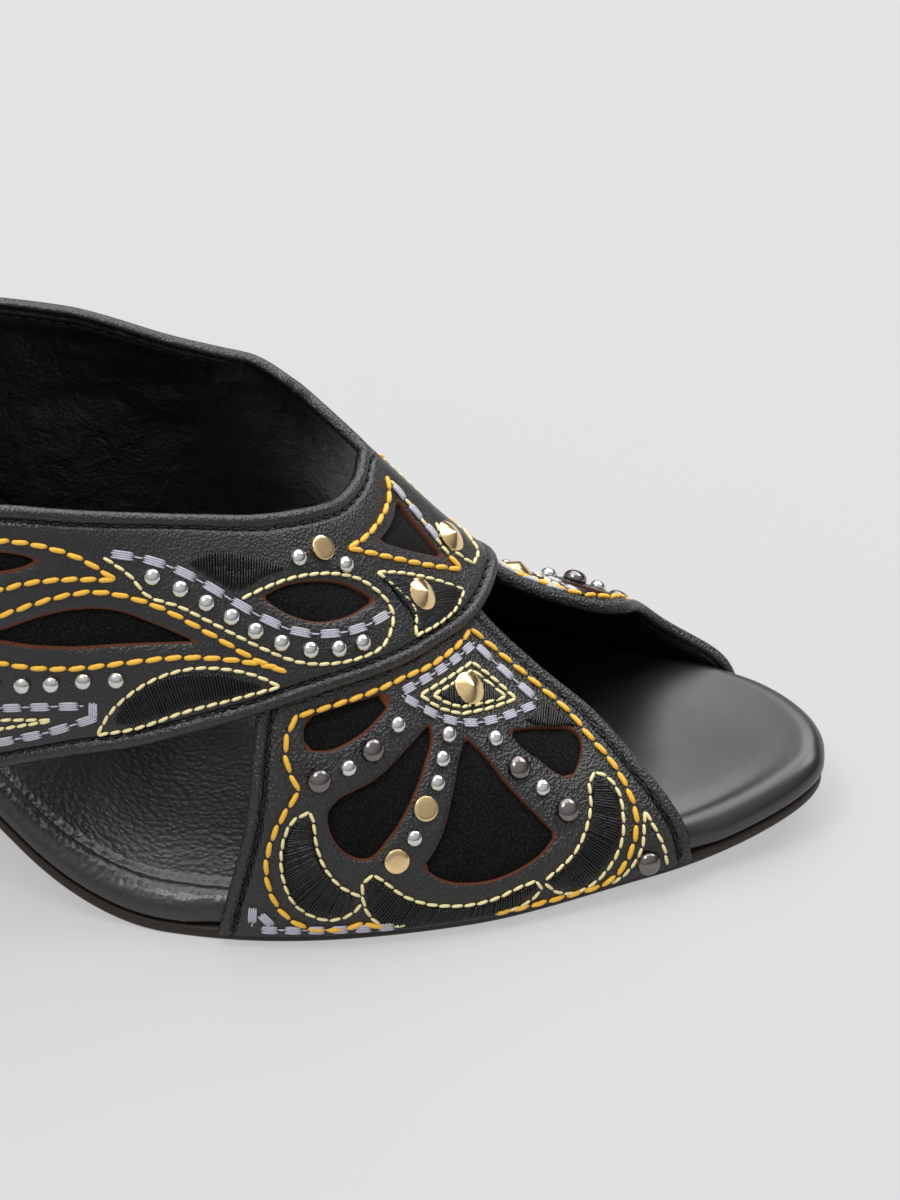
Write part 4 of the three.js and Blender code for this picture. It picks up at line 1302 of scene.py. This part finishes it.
def makeStrap(strap, name, leather):
    row = strapSettings
    girth = np.linspace(-1, 1, row["edgeSteps"] + 1)
    front, back = strapEdge(strap, "Front", girth), strapEdge(strap, "Back", girth)
    fromFront, fromBack = edgeStep(strap, "Front", girth), edgeStep(strap, "Back", girth)
    rollWidth = rollRows[-1, 0]
    squeeze = np.minimum(1, (back - front) * lastShape["rollShare"] / (rollWidth * (fromFront + fromBack)))
    loops = windowLoops(strap)
    grooves = [planOf(*stroke) for kind in ("heavy", "fine") for stroke in strokes[strap][kind]]
    reliefTrees = pointTree(np.concatenate(grooves)), pointTree(np.concatenate([cut for cut, _ in loops]))
    shell = StrapShell()

    def outerPoints(station, girth, height):
        around = np.broadcast_to(girth, station.shape)
        rise = leatherRelief(strap, station.ravel(), around.ravel(), *reliefTrees).reshape(station.shape)
        return strapPoint(strap, station, around, height + rise)

    # rolled edges
    for edge, inward in ((front, fromFront), (back, -fromBack)):
        station = edge + rollRows[:, 0][:, None] * inward * squeeze
        shell.addGrid(outerPoints(station, girth, rollRows[:, 1][:, None]), leatherFace)

    # lining, from edge to edge
    share = np.linspace(0, 1, row["endSteps"] + 1)[:, None]
    frontIn, backIn = front + rollWidth * fromFront * squeeze, back - rollWidth * fromBack * squeeze
    between = frontIn + (backIn - frontIn) * share
    station = np.concatenate([front + foldRows[:, 0][:, None] * fromFront * squeeze, between,
                              (back - foldRows[:, 0][:, None] * fromBack * squeeze)[::-1]])
    height = np.concatenate([foldRows[:, 1], np.zeros(len(share)), foldRows[::-1, 1]])[:, None]
    around = np.broadcast_to(girth, station.shape)
    height = np.broadcast_to(height, station.shape)
    if strap == "band":
        inside = np.minimum(station - front, back - station)
        edgeFade = smoothStep(inside, row["creaseFrom"], row["creaseFull"])
        height = height + creaseRelief(station, around) * edgeFade
    lining = strapPoint(strap, station, around, height)
    shell.addGrid(lining, liningFace)

    # the two faces meet along the edges and at the ends on the sole
    for edge, liningRow in ((front, lining[0]), (back, lining[-1])):
        rim = outerPoints(edge, girth, rollRows[0, 1])
        shell.addGrid(np.stack([rim, liningRow]), leatherFace)
    flat = np.full(len(share) - 2, lastShape["wall"])
    outerHeight = np.concatenate([rollRows[:, 1], flat, rollRows[::-1, 1]])
    for i, end in ((0, -1.0), (-1, 1.0)):
        outline = np.concatenate([front[i] + rollRows[:, 0] * fromFront[i], between[1:-1, i],
                                  (back[i] - rollRows[:, 0] * fromBack[i])[::-1]])
        top = outerPoints(outline, np.full(len(outline), end), outerHeight)
        shell.addZip(top, outline, lining[:, i], station[:, i], liningFace)

    ends = [planOf(between[1:-1, i], np.full(len(share) - 2, end)) for i, end in ((0, -1.0), (-1, 1.0))]
    addOuterFace(shell, strap, planOf(frontIn, girth), planOf(backIn, girth), ends, loops, outerPoints)
    materials = [leather, rawEdge, liningCalf, suede]
    points = np.concatenate(shell.points)
    piece = addPiece(name, points, shell.faces, materials, shell.kinds, row["sharpAngle"])
    print("strap", strap, "with", len(loops), "windows")
    return piece


finishPiece(makeStrap("band", "instep_band", bandCalf), "upper_leather", "upper")
finishPiece(makeStrap("leg", "toe_legs", legCalf), "upper_leather", "upper")


# Sole: outline of the last's edge, then rings in from it

soleSettings = {"samples": 1200, "sides": 640, "insoleSpacing": 1.6, "outsoleSpacing": 3.0, "sharpAngle": 60}


def soleOutline():
    station = lastShape["length"] * (1 - np.cos(np.linspace(0, np.pi, soleSettings["samples"]))) / 2
    outer = np.stack([-station, soleEdge(station, False)], axis=-1)
    inner = np.stack([-station, soleEdge(station, True)], axis=-1)
    return evenLoop(np.concatenate([outer, inner[::-1][1:-1]]), count=soleSettings["sides"])


outline = soleOutline()
outlineTree = pointTree(outline)


def fillLoop(loop, spacing):  # triangles of a closed plan loop with even loose points inside
    grid = looseGrid(loop, spacing)
    grid = clearOf(loop, grid[insideLoop(grid, loop)], spacing)
    plan, triangles, _ = triangulate(np.concatenate([loop, grid]), loopEdges(0, len(loop)), 1)
    return plan, triangles


def ringFaces(rings, count):
    return [(r + i, r + j, r + count + j, r + count + i)
            for r in range(0, (rings - 1) * count, count) for i, j in loopEdges(0, count)]


def soleSolid(name, rings, heightOf, spacing, material):  # rings: inset, height; both ends filled
    points = []
    for inset, height in rings:
        loop = insetLoop(outline, inset[:, None])
        points.append(np.column_stack([loop, heightOf(loop, height)]))
    faces = ringFaces(len(rings), len(outline))
    total = len(rings) * len(outline)
    for ring in (0, len(rings) - 1):
        plan, triangles = fillLoop(points[ring][:, :2], spacing)
        points.append(np.column_stack([plan, heightOf(plan, rings[ring][1])]))
        faces += [tuple(int(total + i) for i in triangle) for triangle in triangles]
        total += len(plan)
    points = np.concatenate(points) + toeTip
    return addPiece(name, points, faces, [material], None, soleSettings["sharpAngle"])


insoleSettings = {
    "topFrom": 4.3, "dish": 0.7, "dishFrom": 8, "dishFull": 30, "grooveAt": 4.3, "grooveWidth": 0.7,
    "grooveDepth": 0.36, "toeGrooveAt": 5.0, "toeGrooveWidth": 1.6, "toeSideBlend": 8, "tipFrom": 4,
    "tipFull": 16, "rearFrom": 60, "rearFull": 85, "ridgeAt": 5.8, "ridgeWidth": 0.8, "ridgeRise": 0.14,
    "swell": 0.7, "zoneBlend": 3,
    "outerZones": ((-20, 16), (90, 124), (178, 240)), "innerZones": ((-20, 13), (90, 110), (178, 240)),
}
insoleRings = [  # inset from the sole edge, height over the feather line, share of the swell
    (1.4, 0.0, 0.7), (0.8, 0.2, 0.9), (0.45, 0.5, 1.0), (0.32, 0.9, 1.0), (0.3, 1.5, 1.0), (0.36, 2.2, 1.0),
    (0.55, 2.9, 0.85), (0.9, 3.6, 0.6), (1.3, 4.15, 0.4), (1.9, 4.55, 0.2), (2.6, 4.75, 0.1), (3.2, 4.8, 0.0),
    (3.7, 4.8, 0.0), (4.1, 4.8, 0.0), (4.5, 4.8, 0.0), (4.9, 4.8, 0.0), (5.5, 4.8, 0.0), (6.3, 4.8, 0.0),
]
outsoleRings = [(0.6, 0.0), (0.2, 0.15), (0.0, 0.55), (0.0, 1.5), (0.12, 1.82), (0.4, 2.0)]  # inset, height


def soleMiddle(station):
    return (soleEdge(station, True) + soleEdge(station, False)) / 2


def insoleHeight(plan, height):
    row = insoleSettings
    station = np.clip(-plan[:, 0], 0, lastShape["length"])
    base = featherHeight(station) + height
    if height < row["topFrom"]:
        return base
    inset = nearestDistance(outlineTree, plan)
    rear = smoothStep(station, row["rearFrom"], row["rearFull"])
    outerToe = smoothStep(soleMiddle(station) - plan[:, 1], -row["toeSideBlend"], row["toeSideBlend"])
    outerToe = outerToe * smoothStep(station, row["tipFrom"], row["tipFull"])  # no groove round the big toe
    depth = row["grooveDepth"] * (rear + (1 - rear) * outerToe)
    grooveAt = row["toeGrooveAt"] + (row["grooveAt"] - row["toeGrooveAt"]) * rear
    width = row["toeGrooveWidth"] + (row["grooveWidth"] - row["toeGrooveWidth"]) * rear
    groove = depth * np.exp(-((inset - grooveAt) / width) ** 2)
    ridge = rear * row["ridgeRise"] * np.exp(-((inset - row["ridgeAt"]) / row["ridgeWidth"]) ** 2)
    return base - groove + ridge - row["dish"] * smoothStep(inset, row["dishFrom"], row["dishFull"])


def outsoleHeight(plan, height):
    return soleBottom(np.clip(-plan[:, 0], 0, lastShape["length"])) + height


def openSwell():  # the padding bulges where no strap holds it
    row = insoleSettings
    blend = row["zoneBlend"]
    station = -outline[:, 0]
    inner = outline[:, 1] > soleMiddle(station)
    show = np.zeros(len(outline))
    for zones, side in ((row["outerZones"], ~inner), (row["innerZones"], inner)):
        for start, end in zones:
            zone = smoothStep(station, start - blend, start + blend)
            zone = zone * (1 - smoothStep(station, end - blend, end + blend))
            show = np.where(side, np.maximum(show, zone), show)
    return show * row["swell"]


swell = openSwell()
rings = [(inset - swell * share, height) for inset, height, share in insoleRings]
insole = soleSolid("insole_wrapped", rings, insoleHeight, soleSettings["insoleSpacing"], sockCalf)
finishPiece(insole, "insole_leather", "insole")

offTips = np.clip(-outline[:, 0], lastShape["endTrim"], lastShape["length"] - lastShape["endTrim"])
ledge = section("ledge", -outline[:, 0]) * endFactor(offTips)
rings = [(inset - ledge, height) for inset, height in outsoleRings]
outsole = soleSolid("outsole_leather", rings, outsoleHeight, soleSettings["outsoleSpacing"], soleEdgeStain)
finishPiece(outsole, "outsole_leather", "outsole")


# Heel and its top piece

heelSettings = {
    "breast": 176, "back": 218.4, "inset": 0.4, "front": 189, "tipBack": 210, "halfWidth": 11,
    "roundTo": 0.985, "power": 2.6, "topPiece": 6.0, "flare": 1.9, "levels": 40, "sides": 44,
    "sharpAngle": 48,
}
topPieceRows = [(0.6, 0.0), (0.25, 0.25), (0.1, 0.6), (0.1, 5.7), (0.22, 6.0)]  # inset, height


def bothSides(place, *values):  # a ring from breast to back on the outer side, then forward on the inner one
    along = np.sin(np.linspace(0, np.pi / 2, heelSettings["sides"] + 1))
    return np.concatenate([place(along, False, *values), place(along, True, *values)[::-1]])


def seatSide(along, inner):
    station = heelSettings["breast"] + (heelSettings["back"] - heelSettings["breast"]) * along
    y = soleEdge(station, inner) - (1 if inner else -1) * heelSettings["inset"]
    return np.stack([-station, y, soleBottom(station) - lastShape["gap"]], axis=-1)


def tipSide(along, inner, inset, height):
    row = heelSettings
    middle, half = (row["front"] + row["tipBack"]) / 2, (row["tipBack"] - row["front"]) / 2
    station = middle + (2 * along - 1) * (half - inset)
    rounding = (1 - (along * row["roundTo"]) ** row["power"]) ** (1 / row["power"])
    y = heelTipSide + (1 if inner else -1) * (row["halfWidth"] - inset) * rounding
    return np.stack([-station, y, np.full_like(along, height)], axis=-1)


def loftRings(name, rings, material):
    count = len(rings[0])
    faces = ringFaces(len(rings), count)
    end = (len(rings) - 1) * count
    for i in range(count // 2 - 1):  # end caps join each point with its partner across the ring
        across = count - 1 - i
        faces.append((i, i + 1, across - 1, across))
        faces.append((end + i, end + i + 1, end + across - 1, end + across))
    return addPiece(name, np.concatenate(rings) + toeTip, faces, [material], None, heelSettings["sharpAngle"])


def makeHeel(name):
    low = bothSides(tipSide, 0, heelSettings["topPiece"] + lastShape["gap"])
    high = bothSides(seatSide)
    rings = []
    for up in np.linspace(0, 1, heelSettings["levels"] + 1):
        ring = low + (high - low) * up ** heelSettings["flare"]
        ring[:, 2] = low[:, 2] + (high[:, 2] - low[:, 2]) * up
        rings.append(ring)
    return loftRings(name, rings, heelCalf)


finishPiece(makeHeel("heel_covered"), "heel_cover", "heel")
topPiece = loftRings("heel_top_rubber", [bothSides(tipSide, *row) for row in topPieceRows], heelRubber)
finishPiece(topPiece, "heel_rubber", "heel_top_piece")


# Floor, light and colour

stageSettings = {
    "floorSize": 8.0, "floorColor": "787878", "floorGlow": 0.45, "skyColor": "ffffff", "skyLow": 0.08,
    "skyHigh": 0.7, "skyAxis": (-0.1, -0.25, 0.96), "riseFrom": -0.2, "riseTo": 0.95,
}
softBoxes = [  # name, place and size in metres, aim, power in watts
    ("overhead", (-0.25, 0.45, 1.45), 1.2, (0.03, 0, 0.03), 10),
    ("side", (0.8, 0.8, 1.2), 0.8, (0.03, 0, 0.03), 9),
    ("back", (0.1, 1.4, 1.05), 1.0, (0.05, 0, 0.03), 9),
    ("key", (-0.45, -0.45, 1.6), 0.6, (0.03, 0, 0.03), 11),
]


def makeFloor():
    half = stageSettings["floorSize"] / 2
    mesh = bpy.data.meshes.new("floor")
    corners = [(-half, -half, 0), (half, -half, 0), (half, half, 0), (-half, half, 0)]
    mesh.from_pydata(corners, [], [(0, 1, 2, 3)])
    # matt studio sheet lit from below as well, which keeps the shadows pale
    material, _, shader, _ = newMaterial("matt studio sheet", 0.9, Specular_IOR_Level=0.1)
    shader.inputs["Base Color"].default_value = hexColor(stageSettings["floorColor"])
    shader.inputs["Emission Color"].default_value = hexColor(stageSettings["skyColor"])
    shader.inputs["Emission Strength"].default_value = stageSettings["floorGlow"]
    mesh.materials.append(material)
    floor = bpy.data.objects.new("floor", mesh)
    scene.collection.objects.link(floor)
    return floor


def makeSky():  # bright overhead, dim towards the horizon
    row = stageSettings
    world = bpy.data.worlds.new("studio")
    world.use_nodes = True
    tree = world.node_tree
    background = tree.nodes["Background"]
    background.inputs["Color"].default_value = hexColor(row["skyColor"])
    direction = addNode(tree, "ShaderNodeTexCoord").outputs["Generated"]
    upwards = addNode(tree, "ShaderNodeVectorMath", {"operation": "DOT_PRODUCT", 1: row["skyAxis"]},
                      {0: direction})
    rise = {"interpolation_type": "SMOOTHSTEP", "From Min": row["riseFrom"], "From Max": row["riseTo"],
            "To Min": row["skyLow"], "To Max": row["skyHigh"]}
    sky = addNode(tree, "ShaderNodeMapRange", rise, {"Value": upwards.outputs["Value"]})
    tree.links.new(sky.outputs["Result"], background.inputs["Strength"])
    return world


makeFloor()
scene.world = makeSky()
for name, place, size, aim, power in softBoxes:
    light = bpy.data.lights.new(name, "AREA")
    light.size = size
    light.energy = power
    lamp = bpy.data.objects.new(name, light)
    lamp.location = place
    lamp.rotation_mode = "QUATERNION"
    lamp.rotation_quaternion = (Vector(aim) - Vector(place)).to_track_quat("-Z", "Y")
    scene.collection.objects.link(lamp)
scene.view_settings.view_transform = "Standard"
print("stage lit")
